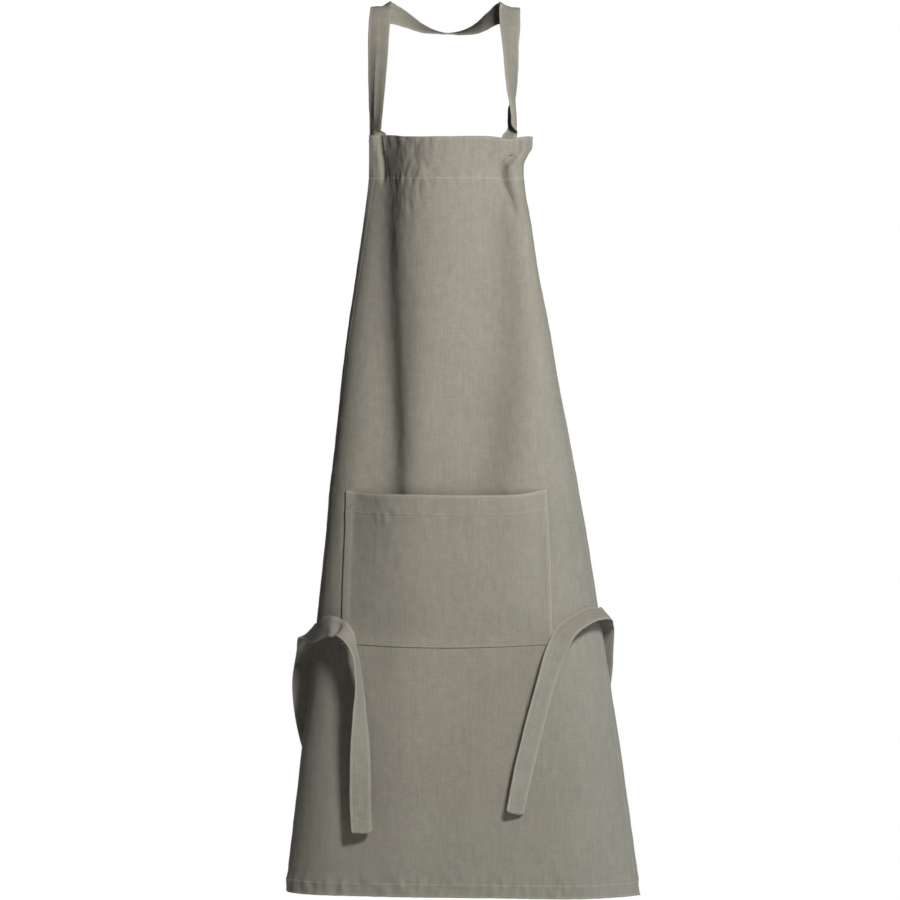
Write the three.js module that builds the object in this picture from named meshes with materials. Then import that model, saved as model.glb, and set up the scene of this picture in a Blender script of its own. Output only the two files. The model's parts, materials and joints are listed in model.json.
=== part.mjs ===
// Cotton bib apron in its hanging shape.
// Sizes are in millimetres and angles in degrees. The front of the cloth faces -Y,
// +X is the viewer's right and +Z is up. The origin is where the neck strap hangs.
import * as THREE from "three";

const CLOTH = 1.2;
const HEM = 2.2;
const STRAP = 1.8;
const SEAM_GAP = 0.9;

const NECK_DROP = 181;
const BODY_LENGTH = 1000;
const TOP_HALF = 130;
const HEM_HALF = 280;
const SIDE_POWER = 3;
const TOP_HEM_DEPTH = 54;
const SIDE_HEM_DEPTH = 12;
const BOTTOM_HEM_DEPTH = 16;
const HEM_STEP = 2;

const POCKET_DOWN = 471;
const POCKET_HEIGHT = 203;
const POCKET_HEM_DEPTH = 26;
const POCKET_SEAM = 10;
const POCKET_FULLNESS = 7;
const POCKET_CALM_DOWN = 570;
const POCKET_GAP = 0.6;

const STRAP_WIDTH = 27.5;
const TIE_WIDTH = 27;
const STRAP_TUCK = 21;
const TIE_DOWN = 400;
const TIE_TUCK = 20;
const EDGE_FADE = 11;

const DEG = Math.PI / 180;

function table(columns, lines) {
  const names = columns.split(" ");
  return lines.map((line) => Object.fromEntries(names.map((name, i) => [name, line[i]])));
}

// The cloth level by level: where its centre line stands, and how far each side has turned at its edge.
const SECTIONS = table("down front left right", [
  [0, -62, 32, 78],
  [15, -63, 39, 88],
  [34, -64, 46, 130],
  [70, -66, 56, 164],
  [140, -70, 66, 153],
  [260, -77, 74, 111],
  [420, -85, 95, 80],
  [560, -88, 115, 72],
  [690, -89, 120, 68],
  [840, -94, 120, 65],
  [1000, -100, 121, 63],
]);

// Folds that run down the cloth: a belt of the given spread turned by the given angle.
const LEFT_VALLEY = table("down centre spread turn", [
  [0, -80, 30, -46],
  [60, -82, 29, -47],
  [120, -84, 26, -48],
  [250, -79, 24, -49],
  [420, -69, 19, -48],
  [480, -67, 20, -38],
  [560, -76, 34, -20],
  [700, -84, 32, -14],
  [1000, -88, 28, -10],
]);
const LEFT_BANK = table("down centre spread turn", [
  [0, -38, 26, -24],
  [60, -44, 27, -23],
  [250, -46, 23, -22],
  [420, -48, 18, -14],
  [500, -50, 20, -4],
  [560, -60, 24, 0],
  [600, -60, 24, 0],
]);
const LEFT_RIDGE = table("down centre spread turn", [
  [0, -122, 12, 4],
  [100, -126, 14, 8],
  [250, -128, 20, 10],
  [420, -126, 26, 12],
  [560, -132, 28, 8],
  [700, -140, 30, 6],
  [1000, -150, 30, 6],
]);
const RIGHT_BANK = table("down centre spread turn", [
  [0, 44, 28, 4],
  [110, 46, 28, 12],
  [250, 44, 32, 12],
  [420, 34, 32, 10],
  [560, 40, 30, 0],
  [600, 40, 30, 0],
]);
const RIGHT_DIP = table("down centre spread turn", [
  [0, 66, 16, -6],
  [60, 85, 20, -26],
  [110, 88, 24, -48],
  [170, 90, 27, -46],
  [250, 93, 32, -42],
  [420, 75, 34, -30],
  [470, 67, 32, -26],
  [560, 80, 30, -5],
  [700, 134, 24, -6],
  [1000, 142, 26, -8],
]);
const FOLDS = [LEFT_VALLEY, LEFT_BANK, LEFT_RIDGE, RIGHT_BANK, RIGHT_DIP];

// Creases at the two top corners: the line of the groove, its depth, and its bank on each side.
const RIGHT_CREASE = table("down across depth leftBank rightBank", [
  [-10, 98, 2, 7, 6],
  [5, 98, 3, 7, 6],
  [18, 97, 5, 8, 6],
  [28, 88, 6, 11, 7],
  [36, 80, 7, 12, 7],
  [46, 80, 6, 12, 8],
  [66, 86, 4, 13, 9],
  [95, 94, 0, 14, 10],
]);
const LEFT_CREASE = table("down across depth leftBank rightBank", [
  [-10, -113, 2.5, 4, 10],
  [14, -113, 2.5, 4, 10],
  [34, -112, 4, 5, 10],
  [70, -109, 0, 8, 12],
]);
const CREASES = [RIGHT_CREASE, LEFT_CREASE];

// Rise and fall of the top edge across the bib, fading out down the cloth.
const TOP_LIFT_FADE = 70;
const HEM_DROP_FADE = 160;
const TOP_LIFT = table("across lift", [
  [-130, 5],
  [-95, 4],
  [-60, 1],
  [0, 0],
  [60, 0],
  [88, -2.5],
  [108, 0.5],
  [130, 1.5],
]);

// Fall of the bottom hem across the skirt, fading out up the cloth.
const HEM_DROP = table("across drop", [
  [-280, -1],
  [-120, 1],
  [60, 3],
  [160, 4.5],
  [280, 3],
]);

// The pocket's outline on the cloth: its side edges, and how its mouth and its foot bow.
const POCKET_SIDES = table("down left right", [
  [0, -143, 133.5],
  [0.5, -142, 137],
  [1, -143, 140],
]);
const POCKET_BOW = table("across mouth foot", [
  [-1, -2.5, -5],
  [-0.8, 1.5, -3.4],
  [-0.4, 2, -1],
  [0, 3.2, 0],
  [0.4, 3.2, -1],
  [0.8, 1.4, -3.4],
  [1, -5, -5],
]);

// Strap and tie paths: lean is the slope of the width in the front view, turn is its swing to the back,
// curl is how far the strap is rolled across its width.
const NECK_PATH = table("x y z lean turn curl", [
  [-95, 7.2, -174.5, 0, -57, 0],
  [-94.7, 6.6, -165, 0, -56, 0],
  [-93.7, 4, -136, 0, -47, 0],
  [-92.9, 1.5, -107, 0, -37, 0],
  [-91.6, -1, -76, 0, -24, 0],
  [-90, -3, -36, 2, -9, 0],
  [-88.5, -2, -17, 10, -3, 0],
  [-86, 3, -4.5, 18, 0, 0],
  [-81, 9, -11, 42, 4, 0],
  [-73, 14, -12.5, 78, 12, 0],
  [-55, 28, -19, 92, 32, 0],
  [-30, 48, -30, 90, 66, 0],
  [2, 60, -36.5, 90, 84, 0],
  [33, 48, -32, 90, 66, 0],
  [53, 30, -23, 90, 34, 0],
  [70, 14, -13, 102, 12, 0],
  [78, 9, -11, 138, 4, 0],
  [83, 3, -5, 162, 0, 0],
  [84, -4, -19, 173, -8, 0],
  [85.2, -14, -56, 180, -40, 6],
  [86.6, -23, -92, 180, -53, 26],
  [88.2, -31, -122, 180, -68, 85],
  [87.8, -36, -138, 180, -94, 165],
  [88.6, -41, -155, 180, -104, 172],
  [88.6, -45, -169, 180, -108, 158],
  [87.6, -47.5, -181, 180, -170, 60],
]);
const LEFT_TIE_PATH = table("x y z lean turn", [
  [-132, 24, -588, 45, 0],
  [-134, 40, -612, 5, 0],
  [-141, 46, -720, 0, 0],
  [-152, 46, -840, 0, 0],
  [-165, 44, -950, 0, 0],
  [-170, 38, -994, 0, 0],
  [-174, 26, -1008, 0, 0],
  [-178, 20, -994, 0, 0],
  [-189, 19, -945, 0, 0],
  [-192, 17, -905, 0, 0],
  [-186, 15, -862, 4, 0],
  [-184.5, 4, -840, 38, 0],
  [-175.5, -36, -838, 74, 4],
  [-153, -72, -828, 82, 10],
  [-135.5, -88, -835, 52, 46],
  [-121.5, -99, -860, 16, 74],
  [-115.5, -100, -898, 4, 70],
  [-114.3, -99, -948, 0, 48],
  [-113.6, -100, -1012, 0, 14],
  [-113.2, -101, -1068, 0, 8],
  [-111.5, -102, -1099, 0, 10],
]);
const RIGHT_TIE_PATH = table("x y z lean turn", [
  [151, -26, -588, 45, 0],
  [154, 0, -612, 5, 0],
  [165, 18, -720, 0, 0],
  [178, 19, -840, 0, 0],
  [190, 18, -960, 0, 0],
  [195, 14, -1008, 0, 0],
  [198, 3, -1021, 0, 0],
  [200, -8, -1008, 0, -6],
  [203, -10, -930, 0, -22],
  [211, -11, -882, 0, -46],
  [212, -13, -848, 0, -45],
  [212.5, -27, -823, -20, -46],
  [211.5, -49, -812, -58, -66],
  [196, -64, -811, -84, -56],
  [177, -80, -819, -66, -46],
  [157.5, -91, -834, -46, -22],
  [145, -95, -858, -28, 0],
  [131.3, -98, -900, -18, 16],
  [116.8, -100, -953, -16, 16],
  [102.8, -102, -1010, -15, 14],
  [89.6, -105, -1073, -12, 30],
]);

// Value of a table's column at a place, along a smooth curve through the rows.
function along(rows, key, column, place) {
  const last = rows.length - 1;
  const at = Math.min(Math.max(place, rows[0][key]), rows[last][key]);
  let i = 0;
  while (i < last - 1 && at > rows[i + 1][key]) {
    i += 1;
  }
  const slope = (k) => (rows[k + 1][column] - rows[k][column]) / (rows[k + 1][key] - rows[k][key]);
  const tangent = (k) => {
    if (k === 0) {
      return slope(0);
    }
    if (k === last) {
      return slope(last - 1);
    }
    const before = rows[k][key] - rows[k - 1][key];
    const after = rows[k + 1][key] - rows[k][key];
    return (slope(k) * before + slope(k - 1) * after) / (before + after);
  };
  const span = rows[i + 1][key] - rows[i][key];
  const t = (at - rows[i][key]) / span;
  const start = (1 + 2 * t) * (1 - t) * (1 - t) * rows[i][column];
  const end = t * t * (3 - 2 * t) * rows[i + 1][column];
  const leave = t * (1 - t) * (1 - t) * span * tangent(i);
  const arrive = t * t * (t - 1) * span * tangent(i + 1);
  return start + end + leave + arrive;
}

function smoothstep(low, high, value) {
  const t = Math.min(Math.max((value - low) / (high - low), 0), 1);
  return t * t * (3 - 2 * t);
}

function halfWidth(down) {
  return TOP_HALF + (HEM_HALF - TOP_HALF) * down / BODY_LENGTH;
}

// Direction of the cloth at one place across a level, as an angle in the ground plane.
function clothAngle(across, down, foldDown) {
  const share = across / halfWidth(down);
  const side = share < 0 ? "left" : "right";
  let angle = Math.sign(share) * along(SECTIONS, "down", side, down) * Math.abs(share) ** SIDE_POWER;
  for (const fold of FOLDS) {
    const off = (across - along(fold, "down", "centre", foldDown)) / along(fold, "down", "spread", foldDown);
    angle += along(fold, "down", "turn", foldDown) * Math.exp(-off * off);
  }
  return angle * DEG;
}

const WALK_STEPS = 90;
const walks = new Map();

// Walk from the centre line to both edges of a level, keeping the cloth's length.
function walkLevel(down, foldDown) {
  const name = `${down} ${foldDown}`;
  if (!walks.has(name)) {
    const reach = halfWidth(down) + 4;
    const step = reach / WALK_STEPS;
    const points = [];
    points[WALK_STEPS] = [0, along(SECTIONS, "down", "front", down)];
    for (let k = 0; k < WALK_STEPS; k += 1) {
      for (const side of [-1, 1]) {
        const from = points[WALK_STEPS + side * k];
        const angle = clothAngle(side * (k + 0.5) * step, down, foldDown);
        points[WALK_STEPS + side * (k + 1)] = [
          from[0] + side * step * Math.cos(angle),
          from[1] + side * step * Math.sin(angle),
        ];
      }
    }
    walks.set(name, { points, step });
  }
  return walks.get(name);
}

function creaseDepth(across, down) {
  let depth = 0;
  for (const crease of CREASES) {
    const last = crease[crease.length - 1].down;
    if (down < last) {
      const off = across - along(crease, "down", "across", down);
      const bank = along(crease, "down", off < 0 ? "leftBank" : "rightBank", down);
      depth += Math.max(along(crease, "down", "depth", down), 0) * Math.exp(-(off / bank) * (off / bank));
    }
  }
  return depth;
}

// A place on the outer face of the cloth, with the outward direction and the direction across.
function clothPlace(across, down, foldDown = down) {
  const { points, step } = walkLevel(down, foldDown);
  const place = across / step + WALK_STEPS;
  const i = Math.min(Math.max(Math.floor(place), 0), points.length - 2);
  const t = place - i;
  const angle = clothAngle(across, down, foldDown);
  const outward = new THREE.Vector3(Math.sin(angle), -Math.cos(angle), 0);
  const sideways = new THREE.Vector3(Math.cos(angle), Math.sin(angle), 0);
  const lift = along(TOP_LIFT, "across", "lift", across) * Math.exp(-down / TOP_LIFT_FADE);
  const drop = along(HEM_DROP, "across", "drop", across) * Math.exp((down - BODY_LENGTH) / HEM_DROP_FADE);
  const point = new THREE.Vector3(
    points[i][0] + t * (points[i + 1][0] - points[i][0]),
    points[i][1] + t * (points[i + 1][1] - points[i][1]),
    lift - drop - NECK_DROP - down,
  );
  point.addScaledVector(outward, -creaseDepth(across, down));
  return { point, outward, sideways };
}

function clothThickness(across, down) {
  const half = halfWidth(down);
  const fromSide = half - Math.abs(across);
  const inHem = fromSide < SIDE_HEM_DEPTH + 0.01
    || down < TOP_HEM_DEPTH + 0.01
    || down > BODY_LENGTH - BOTTOM_HEM_DEPTH - 0.01;
  return inHem ? HEM : CLOTH;
}

// A closed sheet from two grids of points, its front and its back.
function closedSheet(name, columns, rows, frontAt, backAt, finish) {
  const positions = [];
  const index = [];
  const width = columns + 1;
  const size = width * (rows + 1);
  for (const face of [frontAt, backAt]) {
    for (let j = 0; j <= rows; j += 1) {
      for (let i = 0; i <= columns; i += 1) {
        const p = face(i, j);
        positions.push(p.x, p.y, p.z);
      }
    }
  }
  const quad = (a, b, c, d) => index.push(a, b, c, a, c, d);
  for (let j = 0; j < rows; j += 1) {
    for (let i = 0; i < columns; i += 1) {
      const a = j * width + i;
      const b = a + width;
      quad(a, b, b + 1, a + 1);
      quad(size + a, size + a + 1, size + b + 1, size + b);
    }
  }
  for (let i = 0; i < columns; i += 1) {
    const foot = rows * width + i;
    quad(i, i + 1, size + i + 1, size + i);
    quad(foot, size + foot, size + foot + 1, foot + 1);
  }
  for (let j = 0; j < rows; j += 1) {
    const a = j * width;
    const b = a + columns;
    quad(a, size + a, size + a + width, a + width);
    quad(b, b + width, size + b + width, size + b);
  }
  const geometry = new THREE.BufferGeometry();
  geometry.setAttribute("position", new THREE.Float32BufferAttribute(positions, 3));
  geometry.setIndex(index);
  geometry.computeVertexNormals();
  const mesh = new THREE.Mesh(geometry, new THREE.MeshStandardMaterial(finish));
  mesh.name = name;
  return mesh;
}

const CLOTH_FINISH = { color: 0xa49f93, roughness: 0.9, metalness: 0 };

const BODY_COLUMNS = 34;
const BODY_ROWS = 26;

function bodyPanel() {
  const downs = [0, 10, 20, 30, 41, TOP_HEM_DEPTH, TOP_HEM_DEPTH + HEM_STEP];
  const first = TOP_HEM_DEPTH + HEM_STEP;
  const last = BODY_LENGTH - BOTTOM_HEM_DEPTH - HEM_STEP;
  for (let j = 1; j <= BODY_ROWS; j += 1) {
    downs.push(first + (last - first) * j / BODY_ROWS);
  }
  downs.push(BODY_LENGTH - BOTTOM_HEM_DEPTH, BODY_LENGTH);
  const acrossAt = (i, down) => {
    const half = halfWidth(down);
    const inner = half - SIDE_HEM_DEPTH - HEM_STEP;
    if (i === 0 || i === BODY_COLUMNS + 4) {
      return i === 0 ? -half : half;
    }
    if (i === 1 || i === BODY_COLUMNS + 3) {
      return (i === 1 ? -1 : 1) * (half - SIDE_HEM_DEPTH);
    }
    return inner * (2 * (i - 2) / BODY_COLUMNS - 1);
  };
  const faceAt = (inward) => (i, j) => {
    const across = acrossAt(i, downs[j]);
    const { point, outward } = clothPlace(across, downs[j]);
    return point.addScaledVector(outward, -inward * clothThickness(across, downs[j]));
  };
  return closedSheet("body_panel", BODY_COLUMNS + 4, downs.length - 1, faceAt(0), faceAt(1), CLOTH_FINISH);
}

const POCKET_COLUMNS = 24;
const POCKET_ROWS = 12;

// How far the folds of the bib move the cloth at one place from where it hangs without them.
function foldShift(across, down) {
  const calm = clothPlace(across, down, Math.max(down, POCKET_CALM_DOWN)).point;
  return clothPlace(across, down).point.sub(calm);
}

// The inner face of the pocket: sewn close to the body along three sides, drawn smooth between its side seams
// and standing off the body towards the mouth.
function pocketPlace(u, v) {
  const left = along(POCKET_SIDES, "down", "left", v);
  const right = along(POCKET_SIDES, "down", "right", v);
  const mouth = along(POCKET_BOW, "across", "mouth", u);
  const foot = POCKET_HEIGHT + along(POCKET_BOW, "across", "foot", u);
  const share = (u + 1) / 2;
  const across = left + (right - left) * share;
  const down = POCKET_DOWN + mouth + (foot - mouth) * v;
  const { point, outward } = clothPlace(across, down);
  const drawn = foldShift(left, down).multiplyScalar(1 - share);
  drawn.addScaledVector(foldShift(right, down), share);
  drawn.sub(foldShift(across, down));
  const fromSide = (1 - Math.abs(u)) * (right - left) / 2;
  const fromFoot = (1 - v) * foot;
  const free = smoothstep(POCKET_SEAM, 80, fromSide) * smoothstep(POCKET_SEAM, 120, fromFoot);
  const loose = smoothstep(POCKET_SEAM, 36, fromSide) * smoothstep(POCKET_SEAM, 60, fromFoot);
  const stand = drawn.dot(outward) * loose + POCKET_FULLNESS * free;
  point.addScaledVector(outward, Math.max(stand, 0) + POCKET_GAP);
  return { point, outward };
}

function pocket() {
  const hemShare = POCKET_HEM_DEPTH / POCKET_HEIGHT;
  const stepShare = HEM_STEP / POCKET_HEIGHT;
  const shares = [0, hemShare / 2, hemShare, hemShare + stepShare];
  for (let j = 1; j <= POCKET_ROWS; j += 1) {
    shares.push(hemShare + stepShare + (1 - hemShare - stepShare) * j / POCKET_ROWS);
  }
  const faceAt = (thick) => (i, j) => {
    const u = 2 * i / POCKET_COLUMNS - 1;
    const { point, outward } = pocketPlace(u, shares[j]);
    const layers = shares[j] < hemShare + 0.001 ? HEM : CLOTH;
    return point.addScaledVector(outward, thick * layers);
  };
  return closedSheet("pocket", POCKET_COLUMNS, shares.length - 1, faceAt(1), faceAt(0), CLOTH_FINISH);
}

function pathRow(row) {
  const lean = row.lean * DEG;
  const turn = row.turn * DEG;
  return {
    at: new THREE.Vector3(row.x, row.y, row.z),
    wide: new THREE.Vector3(
      Math.cos(turn) * Math.cos(lean),
      Math.sin(turn),
      Math.cos(turn) * Math.sin(lean),
    ),
    curl: row.curl ?? 0,
  };
}

// How far a strap end has to move inwards at one point to lie clear behind the cloth.
// Above the cloth's top edge the move fades out.
function restBehind(point) {
  const side = Math.sign(point.x);
  const level = -NECK_DROP - point.z;
  const half = halfWidth(level);
  const fade = Math.exp(-Math.max(level, 0) / TOP_LIFT_FADE);
  let best = null;
  let nearest = Infinity;
  for (let across = half; across > half / 4; across -= 1) {
    const down = level + fade * along(TOP_LIFT, "across", "lift", side * across);
    const place = clothPlace(side * across, Math.max(down, 0));
    const off = Math.hypot(place.point.x - point.x, place.point.y - point.y);
    if (off < nearest) {
      nearest = off;
      best = { ...place, down };
    }
  }
  const behind = best.point.clone().sub(point);
  behind.z = 0;
  const short = HEM + SEAM_GAP + STRAP / 2 - behind.dot(best.outward);
  const share = smoothstep(-EDGE_FADE, -EDGE_FADE / 3, best.down);
  return best.outward.clone().multiplyScalar(-Math.max(short, 0) * share);
}

// A flat strap of one width along a path of places, each with the direction of the strap's width.
// Over its tucked lengths, at the start and at the end, it rests against the back of the cloth.
function strap(name, places, width, tucks, steps, columns, finish) {
  let run = 0;
  const stations = places.map((place, k) => {
    run += k > 0 ? place.at.distanceTo(places[k - 1].at) : 0;
    const { at, wide, curl } = place;
    return { run, x: at.x, y: at.y, z: at.z, wx: wide.x, wy: wide.y, wz: wide.z, curl };
  });
  const vectorAt = (keys, s) => new THREE.Vector3(...keys.map((key) => along(stations, "run", key, s)));
  const frames = [];
  for (let j = 0; j <= steps; j += 1) {
    const s = run * j / steps;
    const at = vectorAt(["x", "y", "z"], s);
    const ahead = vectorAt(["x", "y", "z"], Math.min(s + 1, run));
    const behind = vectorAt(["x", "y", "z"], Math.max(s - 1, 0));
    const forward = ahead.sub(behind).normalize();
    const wide = vectorAt(["wx", "wy", "wz"], s);
    wide.addScaledVector(forward, -wide.dot(forward)).normalize();
    const face = forward.clone().cross(wide);
    const rolled = along(stations, "run", "curl", s);
    const curl = (Math.abs(rolled) < 0.5 ? 0.5 : rolled) * DEG;
    frames.push({ at, wide, face, curl, tucked: s < tucks[0] || s > run - tucks[1] });
  }
  const faceAt = (lift) => (i, j) => {
    const { at, wide, face, curl, tucked } = frames[j];
    const bend = curl * (i / columns - 0.5);
    const radius = width / curl;
    const middle = at.clone();
    middle.addScaledVector(wide, radius * Math.sin(bend));
    middle.addScaledVector(face, radius * (1 - Math.cos(bend) - curl * curl / 24));
    const shift = tucked ? restBehind(middle) : new THREE.Vector3();
    middle.addScaledVector(wide, -lift * Math.sin(bend));
    middle.addScaledVector(face, lift * Math.cos(bend));
    return middle.add(shift);
  };
  return closedSheet(name, columns, steps, faceAt(STRAP / 2), faceAt(-STRAP / 2), finish);
}

// A place on the back of the body where a strap end lies flat under its stitches.
function seat(across, down, wide, rise) {
  const { point, outward, sideways } = clothPlace(across, down);
  point.addScaledVector(outward, -(HEM + SEAM_GAP + STRAP / 2));
  if (wide === "down") {
    return { at: point, wide: new THREE.Vector3(0, 0, 1), curl: 0 };
  }
  const reach = STRAP_WIDTH / 2;
  const bend = clothAngle(across + reach, down, down) - clothAngle(across - reach, down, down);
  return { at: point, wide: sideways, curl: rise * bend / DEG };
}

const LEFT_STRAP_ACROSS = -119.5;
const RIGHT_STRAP_ACROSS = 89;

function neckStrap() {
  const places = [
    seat(LEFT_STRAP_ACROSS, STRAP_TUCK, "across", 1),
    seat(LEFT_STRAP_ACROSS, 4, "across", 1),
    ...NECK_PATH.map(pathRow),
    seat(RIGHT_STRAP_ACROSS, 4, "across", -1),
    seat(RIGHT_STRAP_ACROSS, STRAP_TUCK, "across", -1),
  ];
  const tucked = STRAP_TUCK + 10;
  return strap("neck_strap", places, STRAP_WIDTH, [tucked, tucked], 104, 4, CLOTH_FINISH);
}

function tie(name, side, path) {
  const half = halfWidth(TIE_DOWN);
  const places = [
    seat(side * (half - TIE_TUCK), TIE_DOWN, "down"),
    seat(side * (half - 2), TIE_DOWN, "down"),
    ...path.map(pathRow),
  ];
  return strap(name, places, TIE_WIDTH, [TIE_TUCK, 0], 88, 2, CLOTH_FINISH);
}

const apron = new THREE.Group();
apron.name = "cotton_apron";
apron.add(
  bodyPanel(),
  pocket(),
  neckStrap(),
  tie("left_tie", -1, LEFT_TIE_PATH),
  tie("right_tie", 1, RIGHT_TIE_PATH),
);

export default apron;
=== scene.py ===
import json
import math

import bpy
import numpy as np
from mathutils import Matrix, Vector


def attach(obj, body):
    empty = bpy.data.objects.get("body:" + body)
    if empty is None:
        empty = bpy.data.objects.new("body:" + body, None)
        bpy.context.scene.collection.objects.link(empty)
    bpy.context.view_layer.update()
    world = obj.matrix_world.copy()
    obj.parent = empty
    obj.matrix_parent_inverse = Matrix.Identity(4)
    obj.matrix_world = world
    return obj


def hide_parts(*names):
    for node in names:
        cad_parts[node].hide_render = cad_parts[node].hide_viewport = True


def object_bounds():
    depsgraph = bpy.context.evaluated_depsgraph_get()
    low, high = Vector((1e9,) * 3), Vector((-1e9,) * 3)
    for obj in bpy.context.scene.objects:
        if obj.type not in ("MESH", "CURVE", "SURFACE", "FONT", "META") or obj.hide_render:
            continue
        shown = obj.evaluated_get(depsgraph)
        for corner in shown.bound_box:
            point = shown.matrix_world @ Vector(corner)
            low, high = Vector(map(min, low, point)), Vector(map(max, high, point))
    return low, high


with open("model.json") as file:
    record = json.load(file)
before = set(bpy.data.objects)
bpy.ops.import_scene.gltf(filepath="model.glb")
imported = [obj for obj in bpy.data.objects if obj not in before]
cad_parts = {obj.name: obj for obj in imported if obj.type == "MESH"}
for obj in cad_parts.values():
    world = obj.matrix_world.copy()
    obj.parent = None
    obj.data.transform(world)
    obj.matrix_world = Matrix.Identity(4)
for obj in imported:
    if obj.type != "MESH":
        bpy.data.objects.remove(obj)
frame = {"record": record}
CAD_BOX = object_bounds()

bl_info = {
    "name": "Cotton Apron",
    "version": (1, 0, 0),
    "blender": (4, 5, 0),
    "location": "View3D > Sidebar > Apron",
    "description": "Builds a hanging cotton bib apron with its pocket, neck strap, waist ties and stitching",
    "category": "Object",
}

# Shape tables are in millimetres and degrees. The front of the cloth faces -Y, +X is the viewer's right
# and +Z is up. The origin is where the neck strap hangs.
MM = 0.001

# The body: how far its top edge hangs below the origin, its length, and half its width at both ends.
NECK_DROP = 181.0
BODY_LENGTH = 1000.0
TOP_HALF = 130.0
HEM_HALF = 280.0
SIDE_POWER = 3
WALK_STEPS = 48

# The pocket: its place and size, how it is sewn down and stands off, and how it draws the body in.
POCKET_DOWN = 471.0
POCKET_HEIGHT = 203.0
POCKET_SEAM = 10.0
POCKET_FULLNESS = 7.0
POCKET_CALM_DOWN = 570.0
POCKET_HALF = 137.0
POCKET_EASE = 9.0
POCKET_SMOOTHING = 50
POCKET_WEAVE = 900.0
POCKET_LIFT = 0.25
POCKET_FREE = (80.0, 120.0)
POCKET_LOOSE = (36.0, 60.0)
POCKET_FOLLOW = 30.0
MOUTH_DRAW = 4.0
MOUTH_DRAW_DOWN = 5.0
MOUTH_DRAW_REACH = 9.0
SEAM_DRAW = 0.7
SEAM_DRAW_OFF = 1.2
SEAM_DRAW_REACH = 2.0

# Strap and ties: their stitches, their small relief, and where they leave the body.
TOP_STITCH = 4.0
STRAP_LEAVE = 4.0
BOX_DOWNS = (7.0, 17.0)
BOX_INSET = 2.0
BOX_POINTS = 12
POCKET_SEAM_POINTS = (60, 80)
END_ROUND = 5.0
END_STITCH = 3.4
END_BOX = 14.0
STRAP_CREASE = -1.7
STRAP_CREASE_REACHES = (7.0, 2.2)
STRAP_EASE = 24.0
STRAP_RIM = 0.28
STRAP_RIM_REACH = 6.0
STRAP_PINCH = 0.34
STRAP_PINCH_REACH = 1.2
STRAP_WEAVE_STEP = 60.0
CLEARANCE = 0.5
STRAP_TUCK = 21.0
STRAP_PRESSED = 31.0
TIE_DOWN = 400.0
TIE_TUCK = 20.0
TIE_LEAVE = 2.0
EDGE_FADE = 11.0
LEFT_STRAP_ACROSS = -119.5
RIGHT_STRAP_ACROSS = 89.0

# Reach of the rise of the top edge and of the fall of the hem.
TOP_LIFT_FADE = 70.0
HEM_DROP_FADE = 160.0

# Fineness of the grids, and the bulge of a sheet's rim as a share of its thickness.
RIM_BULGE = 0.45
LINE_GAP = 1.2
BODY_COLUMNS = 165
POCKET_COLUMNS = 88
POCKET_ROW_STEP = 3.0
STRAP_ROW_STEP = 2.6
STRAP_COLUMNS = 11
LEAST_CURL = 0.5
NOISE_CELLS = 64


def table(columns, lines):
    """Named columns of a short table. The first column is the one that it is read along."""
    return dict(zip(columns.split(), np.array(lines, float).T))


FOLD_COLUMNS = "down centre spread turn"
CREASE_COLUMNS = "down across depth left_bank right_bank"
DENT_COLUMNS = "across down depth long short lean"
TIE_COLUMNS = "x y z lean turn"

# The cloth level by level: where its centre line stands, and how far each side has turned at its edge.
SECTIONS = table("down front left right", [
    (0, -62, 32, 78),
    (15, -63, 39, 88),
    (34, -64, 46, 130),
    (70, -66, 56, 164),
    (140, -70, 66, 153),
    (260, -77, 74, 111),
    (420, -85, 95, 80),
    (560, -88, 115, 72),
    (690, -89, 120, 68),
    (840, -94, 120, 65),
    (1000, -100, 121, 63),
])

# Folds that run down the cloth: a belt of the given spread turned by the given angle.
LEFT_VALLEY = table(FOLD_COLUMNS, [
    (0, -80, 30, -46),
    (60, -82, 29, -47),
    (120, -84, 26, -48),
    (250, -79, 24, -49),
    (420, -69, 19, -48),
    (480, -67, 20, -38),
    (560, -76, 34, -20),
    (700, -84, 32, -14),
    (1000, -88, 28, -10),
])
LEFT_BANK = table(FOLD_COLUMNS, [
    (0, -38, 26, -24),
    (60, -44, 27, -23),
    (250, -46, 23, -22),
    (420, -48, 18, -14),
    (500, -50, 20, -4),
    (560, -60, 24, 0),
    (600, -60, 24, 0),
])
LEFT_RIDGE = table(FOLD_COLUMNS, [
    (0, -122, 12, 4),
    (100, -126, 14, 8),
    (250, -128, 20, 10),
    (420, -126, 26, 12),
    (560, -132, 28, 8),
    (700, -140, 30, 6),
    (1000, -150, 30, 6),
])
RIGHT_BANK = table(FOLD_COLUMNS, [
    (0, 44, 28, 4),
    (110, 46, 28, 12),
    (250, 44, 32, 12),
    (420, 34, 32, 10),
    (560, 40, 30, 0),
    (600, 40, 30, 0),
])
RIGHT_DIP = table(FOLD_COLUMNS, [
    (0, 66, 16, -6),
    (60, 85, 20, -26),
    (110, 88, 24, -48),
    (170, 90, 27, -46),
    (250, 93, 32, -42),
    (420, 75, 34, -30),
    (470, 67, 32, -26),
    (560, 80, 30, -5),
    (700, 134, 24, -6),
    (1000, 142, 26, -8),
])
FOLDS = (LEFT_VALLEY, LEFT_BANK, LEFT_RIDGE, RIGHT_BANK, RIGHT_DIP)

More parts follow.
